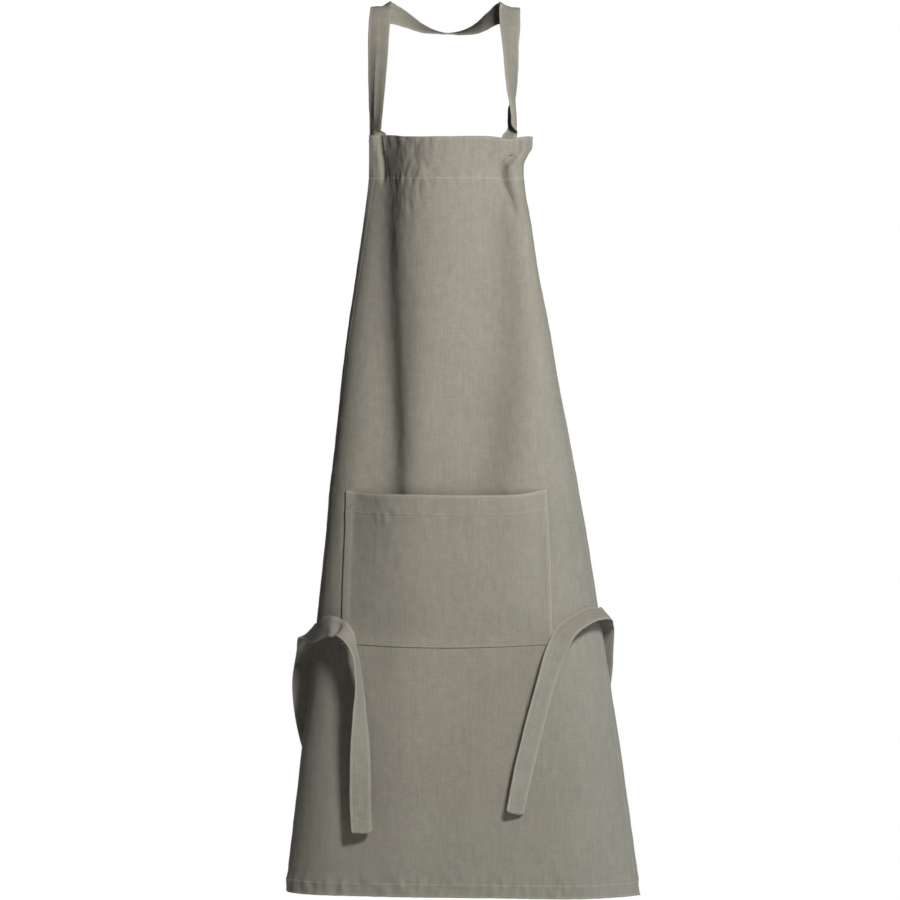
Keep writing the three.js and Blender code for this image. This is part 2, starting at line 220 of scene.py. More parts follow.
# Creases at the two top corners: the line of the groove, its depth, and its bank on each side.
RIGHT_CREASE = table(CREASE_COLUMNS, [
    (-10, 98, 2, 7, 6),
    (5, 98, 3, 7, 6),
    (18, 97, 5, 8, 6),
    (28, 88, 6, 11, 7),
    (36, 80, 7, 12, 7),
    (46, 80, 6, 12, 8),
    (66, 86, 4, 13, 9),
    (95, 94, 0, 14, 10),
])
LEFT_CREASE = table(CREASE_COLUMNS, [
    (-10, -113, 2.5, 4, 10),
    (14, -113, 2.5, 4, 10),
    (34, -112, 4, 5, 10),
    (70, -109, 0, 8, 12),
])
CREASES = (RIGHT_CREASE, LEFT_CREASE)

# Rise and fall of the top edge and of the bottom hem, each fading out away from its edge.
TOP_LIFT = table("across lift", [
    (-130, 5),
    (-95, 4),
    (-60, 1),
    (0, 0),
    (60, 0),
    (88, -2.5),
    (108, 0.5),
    (130, 1.5),
])
HEM_DROP = table("across drop", [
    (-280, -1),
    (-120, 1),
    (60, 3),
    (160, 4.5),
    (280, 3),
])

# The pocket's outline on the cloth: its side edges, and how its mouth and its foot bow.
POCKET_SIDES = table("down left right", [
    (0, -143, 133.5),
    (0.5, -142, 137),
    (1, -143, 140),
])
POCKET_BOW = table("across mouth foot", [
    (-1, -2.5, -5),
    (-0.8, 1.5, -3.4),
    (-0.4, 2, -1),
    (0, 3.2, 0),
    (0.4, 3.2, -1),
    (0.8, 1.4, -3.4),
    (1, -5, -5),
])

# Strap and tie paths: lean is the slope of the width in the front view, turn is its swing to the back,
# curl is how far the strap is rolled across its width, and vee is the depth of a crease along its middle.
NECK_PATH = table("x y z lean turn curl vee", [
    (-95, 7.2, -174.5, 0, -57, 0, 0.4),
    (-94.7, 6.6, -165, 0, -56, 0, 0.6),
    (-93.7, 4, -136, 0, -47, 0, 1),
    (-92.9, 1.5, -107, 0, -37, 0, 1),
    (-91.6, -1, -76, 0, -24, 0, 0.8),
    (-90, -3, -36, 2, -9, 0, 0.3),
    (-88.5, -2, -17, 10, -3, 0, 0),
    (-86, 3, -4.5, 18, 0, 0, 0),
    (-81, 9, -11, 42, 4, 0, 0),
    (-73, 14, -12.5, 78, 12, 0, 0),
    (-55, 28, -19, 92, 32, 0, 0),
    (-30, 48, -30, 90, 66, 0, 0),
    (2, 60, -36.5, 90, 84, 0, 0),
    (33, 48, -32, 90, 66, 0, 0),
    (53, 30, -23, 90, 34, 0, 0),
    (70, 14, -13, 102, 12, 0, 0),
    (78, 9, -11, 138, 4, 0, 0),
    (83, 3, -5, 162, 0, 0, 0),
    (84, -4, -19, 173, -8, 0, 0),
    (85.2, -14, -56, 180, -40, 6, 0),
    (86.6, -23, -92, 180, -53, 26, 0),
    (88.2, -31, -122, 180, -68, 85, 0),
    (87.8, -36, -138, 180, -94, 165, 0),
    (88.6, -41, -155, 180, -104, 172, 0),
    (88.6, -45, -169, 180, -108, 158, 0),
    (87.6, -47.5, -181, 180, -170, 60, 0),
])
LEFT_TIE_PATH = table(TIE_COLUMNS, [
    (-132, 24, -588, 45, 0),
    (-134, 40, -612, 5, 0),
    (-141, 46, -720, 0, 0),
    (-152, 46, -840, 0, 0),
    (-165, 44, -950, 0, 0),
    (-170, 38, -994, 0, 0),
    (-174, 26, -1008, 0, 0),
    (-178, 20, -994, 0, 0),
    (-189, 19, -945, 0, 0),
    (-192, 17, -905, 0, 0),
    (-186, 15, -862, 4, 0),
    (-184.5, 4, -840, 38, 0),
    (-175.5, -36, -838, 74, 4),
    (-153, -72, -828, 82, 10),
    (-135.5, -88, -835, 52, 46),
    (-121.5, -99, -860, 16, 74),
    (-115.5, -100, -898, 4, 70),
    (-114.3, -99, -948, 0, 48),
    (-113.6, -100, -1012, 0, 14),
    (-113.2, -101, -1068, 0, 8),
    (-111.5, -102, -1099, 0, 10),
])
RIGHT_TIE_PATH = table(TIE_COLUMNS, [
    (151, -26, -588, 45, 0),
    (154, 0, -612, 5, 0),
    (165, 18, -720, 0, 0),
    (178, 19, -840, 0, 0),
    (190, 18, -960, 0, 0),
    (195, 14, -1008, 0, 0),
    (198, 3, -1021, 0, 0),
    (200, -8, -1008, 0, -6),
    (203, -10, -930, 0, -22),
    (211, -11, -882, 0, -46),
    (212, -13, -848, 0, -45),
    (212.5, -27, -823, -20, -46),
    (211.5, -49, -812, -58, -66),
    (196, -64, -811, -84, -56),
    (177, -80, -819, -66, -46),
    (157.5, -91, -834, -46, -22),
    (145, -96, -858, -28, 8),
    (131.3, -100, -900, -18, 26),
    (116.8, -102, -953, -16, 26),
    (102.8, -104, -1010, -15, 24),
    (89.6, -106, -1073, -12, 34),
])

# Sharp lines pressed in along the two creases, a little to one side of their bottoms.
RIGHT_LINE = table(CREASE_COLUMNS, [
    (-5, 98, 1.6, 4, 3.6),
    (8, 98, 3, 4, 3.6),
    (18, 97, 4.4, 4, 4),
    (27, 87, 8, 2.6, 3.6),
    (35, 77, 12, 2.2, 4.2),
    (46, 76, 12.5, 2.2, 4.2),
    (66, 81.5, 11, 2.2, 4.2),
    (80, 86, 7, 2.4, 4.4),
    (104, 92, 0, 3, 5),
])
LEFT_LINE = table(CREASE_COLUMNS, [
    (-5, -115, 3, 1.8, 3),
    (25, -115, 3.6, 1.8, 3),
    (46, -114, 2.2, 2, 3),
    (62, -113, 0, 2.2, 3.4),
])
LINES = (RIGHT_LINE, LEFT_LINE)

# Small dents pressed into the bib: depth below the cloth, reach along and across, and the lean of the dent.
BIB_DENTS = table(DENT_COLUMNS, [
    (-46, 26, 1.6, 15, 5, 78),
    (-30, 36, 1.2, 13, 4, 60),
    (-22, 62, 1.0, 12, 3.5, 68),
    (-38, 70, 1.2, 14, 4, 80),
    (-14, 50, 0.8, 10, 3, 55),
    (-52, 92, 0.9, 18, 5, 84),
    (44, 16, 1.0, 12, 4.5, 20),
    (56, 24, 1.2, 10, 4, -30),
    (66, 13, 1.3, 9, 4, 12),
    (72, 30, 1.0, 9, 4, -48),
])

# Small dents in the ties, placed across the tie and back from its free end.
LEFT_TIE_DENTS = table(DENT_COLUMNS, [
    (0, 284, 7, 13, 5.5, 12),
    (4, 40, 1.6, 9, 4, 55),
    (-3, 22, 1.2, 8, 4, -40),
    (0, 255, 1.5, 10, 9, 0),
])
RIGHT_TIE_DENTS = table(DENT_COLUMNS, [
    (2, 206, 2.4, 10, 8, 20),
    (3, 186, 1.8, 8, 7, -10),
    (-2, 60, 0.8, 10, 7, 30),
])
NO_DENTS = {"down": ()}

# The ties: node, side, path, dents and seed.
TIES = (
    ("left_tie", -1, LEFT_TIE_PATH, LEFT_TIE_DENTS, 61),
    ("right_tie", 1, RIGHT_TIE_PATH, RIGHT_TIE_DENTS, 71),
)

# Distance from one row of the body's grid to the next.
ROW_STEPS = table("down step", [
    (0, 2.4),
    (100, 2.6),
    (150, 5),
    (420, 5),
    (450, 3),
    (500, 3),
    (540, 6),
    (930, 6),
    (960, 3),
    (1000, 3),
])

# Grid lines set out to each side of a seam, and inwards from an edge.
SEAM_STEPS = np.array([-5, -3, -1.5, 0, 1.5, 3, 5])
RIM_STEPS = np.array([0, 1.2, 2.6])
FINE_RIM_STEPS = np.array([0, 1, 2.2])

# Random waves in the cloth: a seed, the stretch of one swell across and down, and its height.
BODY_SWELL = (11, 60, 330, 0.9)
BODY_WAVES = ((12, 38, 52, 0.45), (13, 12, 15, 0.34))
BIB_WRINKLES = (25, 7, 13, 0.9)
POCKET_WAVES = ((31, 42, 60, 0.5), (32, 12, 15, 0.36))

# Tucks beside seams: their mean height, the stretch along and away from the seam and the start of the coarse
# and of the fine ones, how far aside they stand, and the depth and reach of the groove under the thread.
TUCK_COLUMNS = "mean along away start fine_along fine_away fine_start fine_share aside groove groove_reach"
BODY_TUCKS = dict(zip(TUCK_COLUMNS.split(), (0.0, 11, 26, 7, 5.5, 14, 3, 0.5, 0.0, 0.3, 1.5)))
POCKET_TUCKS = dict(zip(TUCK_COLUMNS.split(), (0.35, 12, 24, 5, 6, 12, 0, 0.4, 3.0, 0.25, 1.4)))
FINE_SEED = 40

# Streaks in the cotton: how many to the metre across and down, their detail and their weight.
COTTON_STREAKS = (
    (800, 26, 2.0, 0.80),
    (45, 800, 2.0, 0.35),
    (150, 5, 2.0, 0.22),
    (420, 380, 3.0, 0.85),
    (90, 70, 3.0, 0.55),
    (14, 9, 3.0, 0.40),
)

# Stitches: how far they stand off the cloth, their slant in radians, the least and the greatest share of
# their size, and how far those of the pocket's seam are moved off the back of the body.
STITCH_LIFT = 0.12
STITCH_SLANT = 0.10
STITCH_LEAST = (0.88, 0.9, 0.9)
STITCH_MOST = (1.05, 1.1, 1.1)
UNDER_LIFT = 0.1

FACING_ATTRIBUTE = "stitch_facing"
WEAR_ATTRIBUTE = "wear"
WEAVE_MAP = "weave"

# Wear and tone of the cotton: how much paler and how wide the worn edges are, and how the streaks show.
EDGE_WEAR = 0.35
EDGE_WORN = 1.8
SEAM_WORN = 1.3
SLUB_TINT = np.array((1.0, 0.98, 1.02))
STREAK_SPREAD = 0.75
STREAK_RELIEF = 1.2


def length_property(name, description, default, low, high):
    return bpy.props.FloatProperty(
        name=name, description=description, default=default, min=low, max=high, unit="LENGTH", precision=5)


def power_property(name, description, default):
    return bpy.props.FloatProperty(
        name=name, description=description, default=default, min=0, max=1000, unit="POWER")


class ApronCloth(bpy.types.PropertyGroup):
    """Colour and make of the cotton."""

    color: bpy.props.FloatVectorProperty(
        name="Cloth colour", description="Mean colour of the washed cotton", subtype="COLOR",
        size=3, min=0, max=1, default=frame["record"]["materials"][0]["base_color"])
    thread_color: bpy.props.FloatVectorProperty(
        name="Thread colour", description="Colour of the sewing thread", subtype="COLOR",
        size=3, min=0, max=1, default=(0.52, 0.50, 0.43))
    thread_pitch: length_property(
        "Thread pitch", "Distance between neighbouring threads of the weave", 0.00062, 0.0002, 0.003)
    slub: bpy.props.FloatProperty(
        name="Slub", description="How strongly thick and thin threads streak the colour",
        default=0.34, min=0, max=1, subtype="FACTOR")
    thickness: length_property(
        "Cloth thickness", "Thickness of a single layer of cloth", 0.0009, 0.0003, 0.003)
    hem_thickness: length_property(
        "Hem thickness", "Thickness where the cloth is turned over and sewn", 0.0019, 0.0005, 0.005)


class ApronCut(bpy.types.PropertyGroup):
    """Sizes of the hems, the strap and the ties."""

    top_hem: length_property(
        "Bib facing", "Depth of the facing turned in at the top of the bib", 0.054, 0.01, 0.1)
    side_hem: length_property("Side hem", "Depth of the hem along the sides", 0.010, 0.005, 0.03)
    bottom_hem: length_property(
        "Bottom hem", "Depth of the hem along the foot of the skirt", 0.016, 0.005, 0.05)
    pocket_hem: length_property(
        "Pocket hem", "Depth of the hem along the mouth of the pocket", 0.025, 0.01, 0.05)
    pocket_seam: length_property(
        "Pocket seam", "Distance of the pocket's seam from its edge", 0.004, 0.001, 0.01)
    strap_width: length_property("Strap width", "Width of the neck strap", 0.0275, 0.015, 0.05)
    tie_width: length_property("Tie width", "Width of the waist ties", 0.027, 0.015, 0.05)
    strap_thickness: length_property(
        "Strap thickness", "Thickness of the folded strap and ties", 0.0017, 0.0005, 0.004)
    strap_seam: length_property(
        "Strap seam", "Distance of the stitching from the edges of strap and ties", 0.0026, 0.001, 0.008)


class ApronStitch(bpy.types.PropertyGroup):
    """Sizes of one stitch."""

    pitch: length_property("Pitch", "Distance from one stitch to the next", 0.0030, 0.001, 0.01)
    length: length_property("Length", "Length of the thread that shows", 0.0025, 0.0005, 0.01)
    width: length_property("Width", "Width of the thread", 0.0009, 0.0002, 0.002)
    seed: bpy.props.IntProperty(
        name="Seed", description="Seed of the small unevenness from stitch to stitch", default=7, min=0)


class ApronStage(bpy.types.PropertyGroup):
    """Light, floor and camera."""

    key_power: power_property("Key light", "Power of the main light at the front right", 20.4)
    fill_power: power_property("Fill light", "Power of the weak light at the far right", 3.4)
    edge_power: power_property("Edge light", "Power of the faint light at the left", 0.15)
    back_power: power_property("Back lights", "Power of each of the two lights behind the object", 9.0)
    ambient: bpy.props.FloatProperty(
        name="Ambient", description="Brightness of the studio walls", default=0.014, min=0, max=2)
    floor_drop: length_property("Floor below hem", "Height of the hem above the floor", 0.10, 0.0, 1.0)
    lens: bpy.props.FloatProperty(
        name="Lens", description="Focal length of the camera", default=242.4, min=20, max=500, unit="CAMERA")


# Shape of the cloth.

def smoothstep(low, high, value):
    t = np.clip((value - low) / (high - low), 0, 1)
    return t * t * (3 - 2 * t)


def bell(distance, reach):
    return np.exp(-((distance / reach) ** 2))


def unit(vectors):
    return vectors / np.linalg.norm(vectors, axis=-1, keepdims=True)


def along(rows, column, place):
    """Value of a column at a place of the first column, on a smooth curve through the rows."""
    keys = next(iter(rows.values()))
    values = rows[column]
    gap = np.diff(keys)
    slope = np.diff(values) / gap
    tangent = np.empty_like(values)
    tangent[0], tangent[-1] = slope[0], slope[-1]
    tangent[1:-1] = (slope[1:] * gap[:-1] + slope[:-1] * gap[1:]) / (gap[1:] + gap[:-1])
    at = np.clip(place, keys[0], keys[-1])
    i = np.clip(np.searchsorted(keys, at) - 1, 0, len(keys) - 2)
    t = (at - keys[i]) / gap[i]
    s = 1 - t
    ends = (1 + 2 * t) * s * s * values[i] + t * t * (3 - 2 * t) * values[i + 1]
    return ends + gap[i] * t * s * (s * tangent[i] - t * tangent[i + 1])


def ripple(seed, u, v):
    """Smooth random waves between about -1 and 1, with one swell to each unit of u and v."""
    angles = np.random.default_rng(seed).uniform(0, 2 * np.pi, (NOISE_CELLS, NOISE_CELLS))
    iu, iv = np.floor(u).astype(int), np.floor(v).astype(int)
    fu, fv = u - iu, v - iv

    def corner(a, b):
        angle = angles[(iu + a) % NOISE_CELLS, (iv + b) % NOISE_CELLS]
        return np.cos(angle) * (fu - a) + np.sin(angle) * (fv - b)

    su = fu ** 3 * (fu * (6 * fu - 15) + 10)
    sv = fv ** 3 * (fv * (6 * fv - 15) + 10)
    first = corner(0, 0) + su * (corner(1, 0) - corner(0, 0))
    second = corner(0, 1) + su * (corner(1, 1) - corner(0, 1))
    return 1.5 * (first + sv * (second - first))


def waves(rows, across, down):
    """Sum of random waves from rows of a seed, the stretch of one swell across and down, and a height."""
    return sum(height * ripple(seed, across / wide, down / long) for seed, wide, long, height in rows)


def puckers(seams, tucks):
    """Tucks and grooves along seams, each with a distance from it, reach, height, run along it and seed."""
    total = 0
    for distance, reach, height, run, seed in seams:
        coarse = ripple(seed, run / tucks["along"], distance / tucks["away"] + tucks["start"])
        away = distance / tucks["fine_away"] + tucks["fine_start"]
        fine = ripple(seed + FINE_SEED, run / tucks["fine_along"], away)
        rise = tucks["mean"] + coarse + tucks["fine_share"] * fine
        total = total + height * rise * bell(distance - tucks["aside"], reach)
        total = total - tucks["groove"] * bell(distance, tucks["groove_reach"])
    return total


def half_width(down):
    return TOP_HALF + (HEM_HALF - TOP_HALF) * down / BODY_LENGTH


def body_margins(across, down):
    """Distances from the nearer side edge of the body cloth and from its foot."""
    return half_width(down) - np.abs(across), BODY_LENGTH - down


def cloth_law(down, fold_down):
    """What turns the cloth at each level, read once for all the steps of a walk."""
    sides = along(SECTIONS, "left", down), along(SECTIONS, "right", down)
    folds = [[along(fold, column, fold_down) for column in ("centre", "spread", "turn")] for fold in FOLDS]
    return half_width(down), sides, folds


def cloth_angle(across, law):
    """Direction of the cloth at places across its levels, as an angle in the ground plane."""
    half, (left, right), folds = law
    share = across / half
    angle = np.sign(share) * np.where(share < 0, left, right) * np.abs(share) ** SIDE_POWER
    for centre, spread, turn in folds:
        angle = angle + turn * bell(across - centre, spread)
    return np.radians(angle)


def crease_depth(across, down, creases=CREASES):
    depth = np.zeros_like(across)
    for crease in creases:
        off = across - along(crease, "across", down)
        left, right = along(crease, "left_bank", down), along(crease, "right_bank", down)
        groove = np.maximum(along(crease, "depth", down), 0) * bell(off, np.where(off < 0, left, right))
        depth += np.where(down < crease["down"][-1], groove, 0)
    return depth


def top_lift(across, down):
    return along(TOP_LIFT, "lift", across) * np.exp(-down / TOP_LIFT_FADE)


def cloth_place(across, down, fold_down=None):
    """Places on the outer face of the cloth, with the outward direction and the direction across."""
    across, down = np.broadcast_arrays(np.asarray(across, float), np.asarray(down, float))
    law = cloth_law(down, down if fold_down is None else fold_down)
    x = np.zeros_like(across)
    y = np.zeros_like(across)
    for step in range(WALK_STEPS):
        angle = cloth_angle(across * (step + 0.5) / WALK_STEPS, law)
        x += np.cos(angle) * across / WALK_STEPS
        y += np.sin(angle) * across / WALK_STEPS
    angle = cloth_angle(across, law)
    flat = np.zeros_like(across)
    outward = np.stack([np.sin(angle), -np.cos(angle), flat], -1)
    sideways = np.stack([np.cos(angle), np.sin(angle), flat], -1)
    drop = along(HEM_DROP, "drop", across) * np.exp((down - BODY_LENGTH) / HEM_DROP_FADE)
    z = top_lift(across, down) - drop - NECK_DROP - down
    point = np.stack([x, y + along(SECTIONS, "front", down), z], -1)
    return point - outward * crease_depth(across, down)[..., None], outward, sideways


def grid_normals(points):
    """Outward directions of a grid of points with its rows down and its columns across."""
    return unit(np.cross(np.gradient(points, axis=0), np.gradient(points, axis=1)))


def lines_with(regular, wanted):
    """Regular places and wanted ones in one rising row, without the regular ones close to a wanted one."""
    wanted = np.unique(np.round(wanted, 4))
    kept = [value for value in regular if np.min(np.abs(wanted - value)) > LINE_GAP]
    return np.sort(np.concatenate([wanted, kept]))


# Meshes and stitches.

def closed_sheet(name, front, back, weave, wear, material):
    """A closed sheet of cloth from the grids of its two faces, with a rounded rim between them."""
    rows, columns = front.shape[:2]
    size = rows * columns
    grid = np.arange(size).reshape(rows, columns)
    inner = grid[np.clip(np.arange(rows), 1, rows - 2)][:, np.clip(np.arange(columns), 1, columns - 2)]
    loop = np.concatenate([grid[0, :-1], grid[:-1, -1], grid[-1, :0:-1], grid[:0:-1, 0]])
    inward = np.concatenate([inner[0, :-1], inner[:-1, -1], inner[-1, :0:-1], inner[:0:-1, 0]])
    front, back = front.reshape(-1, 3), back.reshape(-1, 3)
    middle = (front[loop] + back[loop]) / 2
    thick = np.linalg.norm(front[loop] - back[loop], axis=1, keepdims=True)
    rim = middle + unit(middle - (front[inward] + back[inward]) / 2) * thick * RIM_BULGE
    points = np.concatenate([front, back, rim]) * MM
    a, b = grid[:-1, :-1].ravel(), grid[1:, :-1].ravel()
    c, d = grid[1:, 1:].ravel(), grid[:-1, 1:].ravel()
    ring = 2 * size + np.arange(len(loop))
    after, ring_after = np.roll(loop, -1), np.roll(ring, -1)
    quads = np.concatenate([
        np.stack([a, b, c, d], 1),
        np.stack([a, d, c, b], 1) + size,
        np.stack([loop, after, ring_after, ring], 1),
        np.stack([ring, ring_after, after + size, loop + size], 1),
    ])
    weave = weave.reshape(-1, 2)
    places = np.concatenate([weave, weave, weave[loop]]) * MM
    mesh = bpy.data.meshes.new(name)
    mesh.vertices.add(len(points))
    mesh.vertices.foreach_set("co", points.ravel())
    mesh.loops.add(quads.size)
    mesh.loops.foreach_set("vertex_index", quads.ravel().astype(np.int32))
    mesh.polygons.add(len(quads))
    mesh.polygons.foreach_set("loop_start", np.arange(0, quads.size, 4, dtype=np.int32))
    mesh.polygons.foreach_set("use_smooth", np.ones(len(quads), bool))
    layer = mesh.uv_layers.new(name=WEAVE_MAP)
    layer.uv.foreach_set("vector", places[quads.ravel()].astype(np.float32).ravel())
    worn = mesh.attributes.new(WEAR_ATTRIBUTE, "FLOAT", "POINT")
    wear = np.clip(wear, 0, 1).ravel()
    worn.data.foreach_set("value", np.concatenate([wear, wear, wear[loop]]).astype(np.float32))
    mesh.update(calc_edges=True)
    if mesh.validate():
        raise RuntimeError(f"{name}: the sheet has faces that don't close")
    mesh.materials.append(material)
    return link(name, mesh)


def link(name, data):
    made = bpy.data.objects.new(name, data)
    bpy.context.scene.collection.objects.link(made)
    return made


def fill_sockets(tree, node, sockets):
    """Sets inputs of a node, by name or number, to values, or links them to outputs or to nodes."""
    for key, value in dict(sockets).items():
        if isinstance(value, bpy.types.Node):
            value = next(output for output in value.outputs if output.enabled)
        if isinstance(value, bpy.types.NodeSocket):
            tree.links.new(value, node.inputs[key])
        else:
            node.inputs[key].default_value = value


def add_node(tree, kind, sockets=(), **settings):
    """A node with its settings and with its inputs filled."""
    node = tree.nodes.new(kind)
    for key, value in settings.items():
        setattr(node, key, value)
    fill_sockets(tree, node, sockets)
    return node


def math_node(tree, operation, *values):
    return add_node(tree, "ShaderNodeMath", dict(enumerate(values)), operation=operation)


def mixed_color(tree, factor, first, second):
    sockets = {"Factor": factor, "A": first, "B": second}
    return add_node(tree, "ShaderNodeMix", sockets, data_type="RGBA")


def new_material(name):
    """A new material with its node tree and its shader."""
    material = bpy.data.materials.new(name)
    material.use_nodes = True
    return material, material.node_tree, material.node_tree.nodes["Principled BSDF"]


def stitch_tree(material):
    """Geometry nodes that lay stitches along seam lines, flat on the cloth."""
    name = "Stitch rows in " + material.name
    if name in bpy.data.node_groups:
        return bpy.data.node_groups[name]
    tree = bpy.data.node_groups.new(name, "GeometryNodeTree")
    tree.interface.new_socket("Geometry", in_out="INPUT", socket_type="NodeSocketGeometry")
    for label in ("Pitch", "Length", "Width"):
        tree.interface.new_socket(label, in_out="INPUT", socket_type="NodeSocketFloat")
    tree.interface.new_socket("Seed", in_out="INPUT", socket_type="NodeSocketInt")
    tree.interface.new_socket("Geometry", in_out="OUTPUT", socket_type="NodeSocketGeometry")
    given = tree.nodes.new("NodeGroupInput").outputs
    seam = add_node(tree, "GeometryNodeMeshToCurve", {"Mesh": given["Geometry"]})
    places = add_node(
        tree, "GeometryNodeResampleCurve", {"Curve": seam, "Length": given["Pitch"]}, mode="LENGTH")
    facing = add_node(
        tree, "GeometryNodeInputNamedAttribute", {"Name": FACING_ATTRIBUTE}, data_type="FLOAT_VECTOR")
    heading = add_node(tree, "GeometryNodeInputTangent")
    ahead = add_node(
        tree, "FunctionNodeAlignRotationToVector", {"Vector": heading}, axis="X", pivot_axis="AUTO")
    lying = add_node(
        tree, "FunctionNodeAlignRotationToVector",
        {"Rotation": ahead, "Vector": facing.outputs["Attribute"]}, axis="Z", pivot_axis="X")

    def random_vector(least, most):
        return add_node(
            tree, "FunctionNodeRandomValue", {"Min": least, "Max": most, "Seed": given["Seed"]},
            data_type="FLOAT_VECTOR")

    slant = random_vector((0, 0, -STITCH_SLANT), (0, 0, STITCH_SLANT))
    turned = add_node(
        tree, "FunctionNodeRotateRotation", {"Rotation": lying, "Rotate By": slant}, rotation_space="LOCAL")
    uneven = random_vector(STITCH_LEAST, STITCH_MOST)
    half_length = math_node(tree, "MULTIPLY", given["Length"], 0.5)
    half_thread = math_node(tree, "MULTIPLY", given["Width"], 0.5)
    scale = add_node(tree, "ShaderNodeCombineXYZ", {"X": half_length, "Y": half_thread, "Z": half_thread})
    ball = add_node(tree, "GeometryNodeMeshUVSphere", {"Segments": 6, "Rings": 4, "Radius": 1.0})
    thread = add_node(tree, "GeometryNodeTransform", {"Geometry": ball.outputs["Mesh"], "Scale": scale})
    smooth = add_node(tree, "GeometryNodeSetShadeSmooth", {0: thread})
    rows = add_node(
        tree, "GeometryNodeInstanceOnPoints",
        {"Points": places, "Instance": smooth, "Rotation": turned, "Scale": uneven})
    whole = add_node(tree, "GeometryNodeRealizeInstances", {"Geometry": rows})
    painted = add_node(tree, "GeometryNodeSetMaterial", {"Geometry": whole, "Material": material})
    result = tree.nodes.new("NodeGroupOutput")
    tree.links.new(painted.outputs[0], result.inputs["Geometry"])
    return tree


def sew(name, seams, stitch, cloth):
    """Stitches along seams, each a row of points and of outward directions, as one plain mesh."""
    points = np.concatenate([seam for seam, _ in seams]) * MM
    facing = np.concatenate([out for _, out in seams])
    starts = np.cumsum([0] + [len(seam) for seam, _ in seams])
    edges = [(i, i + 1) for low, high in zip(starts, starts[1:]) for i in range(low, high - 1)]
    lines = bpy.data.meshes.new(name + "_lines")
    lines.from_pydata((points + facing * MM * STITCH_LIFT).tolist(), edges, [])
    attribute = lines.attributes.new(FACING_ATTRIBUTE, "FLOAT_VECTOR", "POINT")
    attribute.data.foreach_set("vector", facing.astype(np.float32).ravel())
    guide = link(name + "_lines", lines)
    tree = stitch_tree(sewing_thread(cloth))
    modifier = guide.modifiers.new("Stitches", "NODES")
    modifier.node_group = tree
    values = {"Pitch": stitch.pitch, "Length": stitch.length, "Width": stitch.width, "Seed": stitch.seed}
    for item in tree.interface.items_tree:
        if item.in_out == "INPUT" and item.name in values:
            modifier[item.identifier] = values[item.name]
    guide.update_tag()
    mesh = bpy.data.meshes.new_from_object(guide.evaluated_get(bpy.context.evaluated_depsgraph_get()))
    guide.modifiers.remove(modifier)
    bpy.data.objects.remove(guide)
    bpy.data.meshes.remove(lines)
    if not mesh.polygons:
        raise RuntimeError(f"{name}: no stitches were laid")
    mesh.name = name
    return link(name, mesh)


# Materials.

def plain_weave(tree, place, pitch):
    """Height of a plain weave, from 0 to 1, over places in metres."""
    parts = add_node(tree, "ShaderNodeSeparateXYZ", {0: place}).outputs
    warp, weft = (
        math_node(tree, "SINE", math_node(tree, "MULTIPLY", parts[axis], math.pi / pitch)) for axis in "XY")
    warp_round = math_node(tree, "MULTIPLY", warp, warp)
    weft_round = math_node(tree, "MULTIPLY", weft, weft)
    over = math_node(tree, "MULTIPLY", warp, weft)
    mean = math_node(tree, "ADD", warp_round, weft_round)
    lead = math_node(tree, "MULTIPLY", over, math_node(tree, "SUBTRACT", warp_round, weft_round))
    return math_node(tree, "MULTIPLY", math_node(tree, "ADD", mean, lead), 0.5)


def streaks(tree, place, scale, detail):
    """Noise stretched by the given scale along and across the threads."""
    stretched = add_node(tree, "ShaderNodeMapping", {"Vector": place, "Scale": scale})
    sockets = {"Vector": stretched, "Scale": 1.0, "Detail": detail, "Roughness": 0.6}
    return add_node(tree, "ShaderNodeTexNoise", sockets)


def cotton(name, cloth):
    """Washed cotton in plain weave, with thick and thin threads, a soft nap and a worn, uneven tone."""
    if name in bpy.data.materials:
        return bpy.data.materials[name]
    material, tree, shader = new_material(name)
    place = add_node(tree, "ShaderNodeUVMap", uv_map=WEAVE_MAP)
    total = shade = 0.5
    for across, down, detail, weight in COTTON_STREAKS:
        part = streaks(tree, place, (across, down, 1), detail)
        total = math_node(tree, "MULTIPLY_ADD", part, weight, total)
        shade += weight / 2
    color = np.array(cloth.color)
    dark, light = color * (1 - cloth.slub * SLUB_TINT), color * (1 + cloth.slub)
    spread = add_node(
        tree, "ShaderNodeMapRange",
        {"Value": total, "From Min": shade - STREAK_SPREAD, "From Max": shade + STREAK_SPREAD})
    blend = mixed_color(tree, spread, (*dark, 1), (*light, 1))
    wear = add_node(tree, "ShaderNodeAttribute", attribute_name=WEAR_ATTRIBUTE).outputs["Fac"]
    pale = np.minimum(color * (1 + EDGE_WEAR), 1)
    weave = plain_weave(tree, place, cloth.thread_pitch)
    height = math_node(tree, "MULTIPLY_ADD", total, STREAK_RELIEF, weave)
    bump = add_node(tree, "ShaderNodeBump", {"Strength": 0.55, "Distance": 0.00014, "Height": height})
    fill_sockets(tree, shader, {
        "Base Color": mixed_color(tree, wear, blend, (*pale, 1)),
        "Roughness": 0.93,
        "Specular IOR Level": 0.25,
        "Sheen Weight": 0.10,
        "Sheen Roughness": 0.6,
        "Normal": bump,
    })
    return material


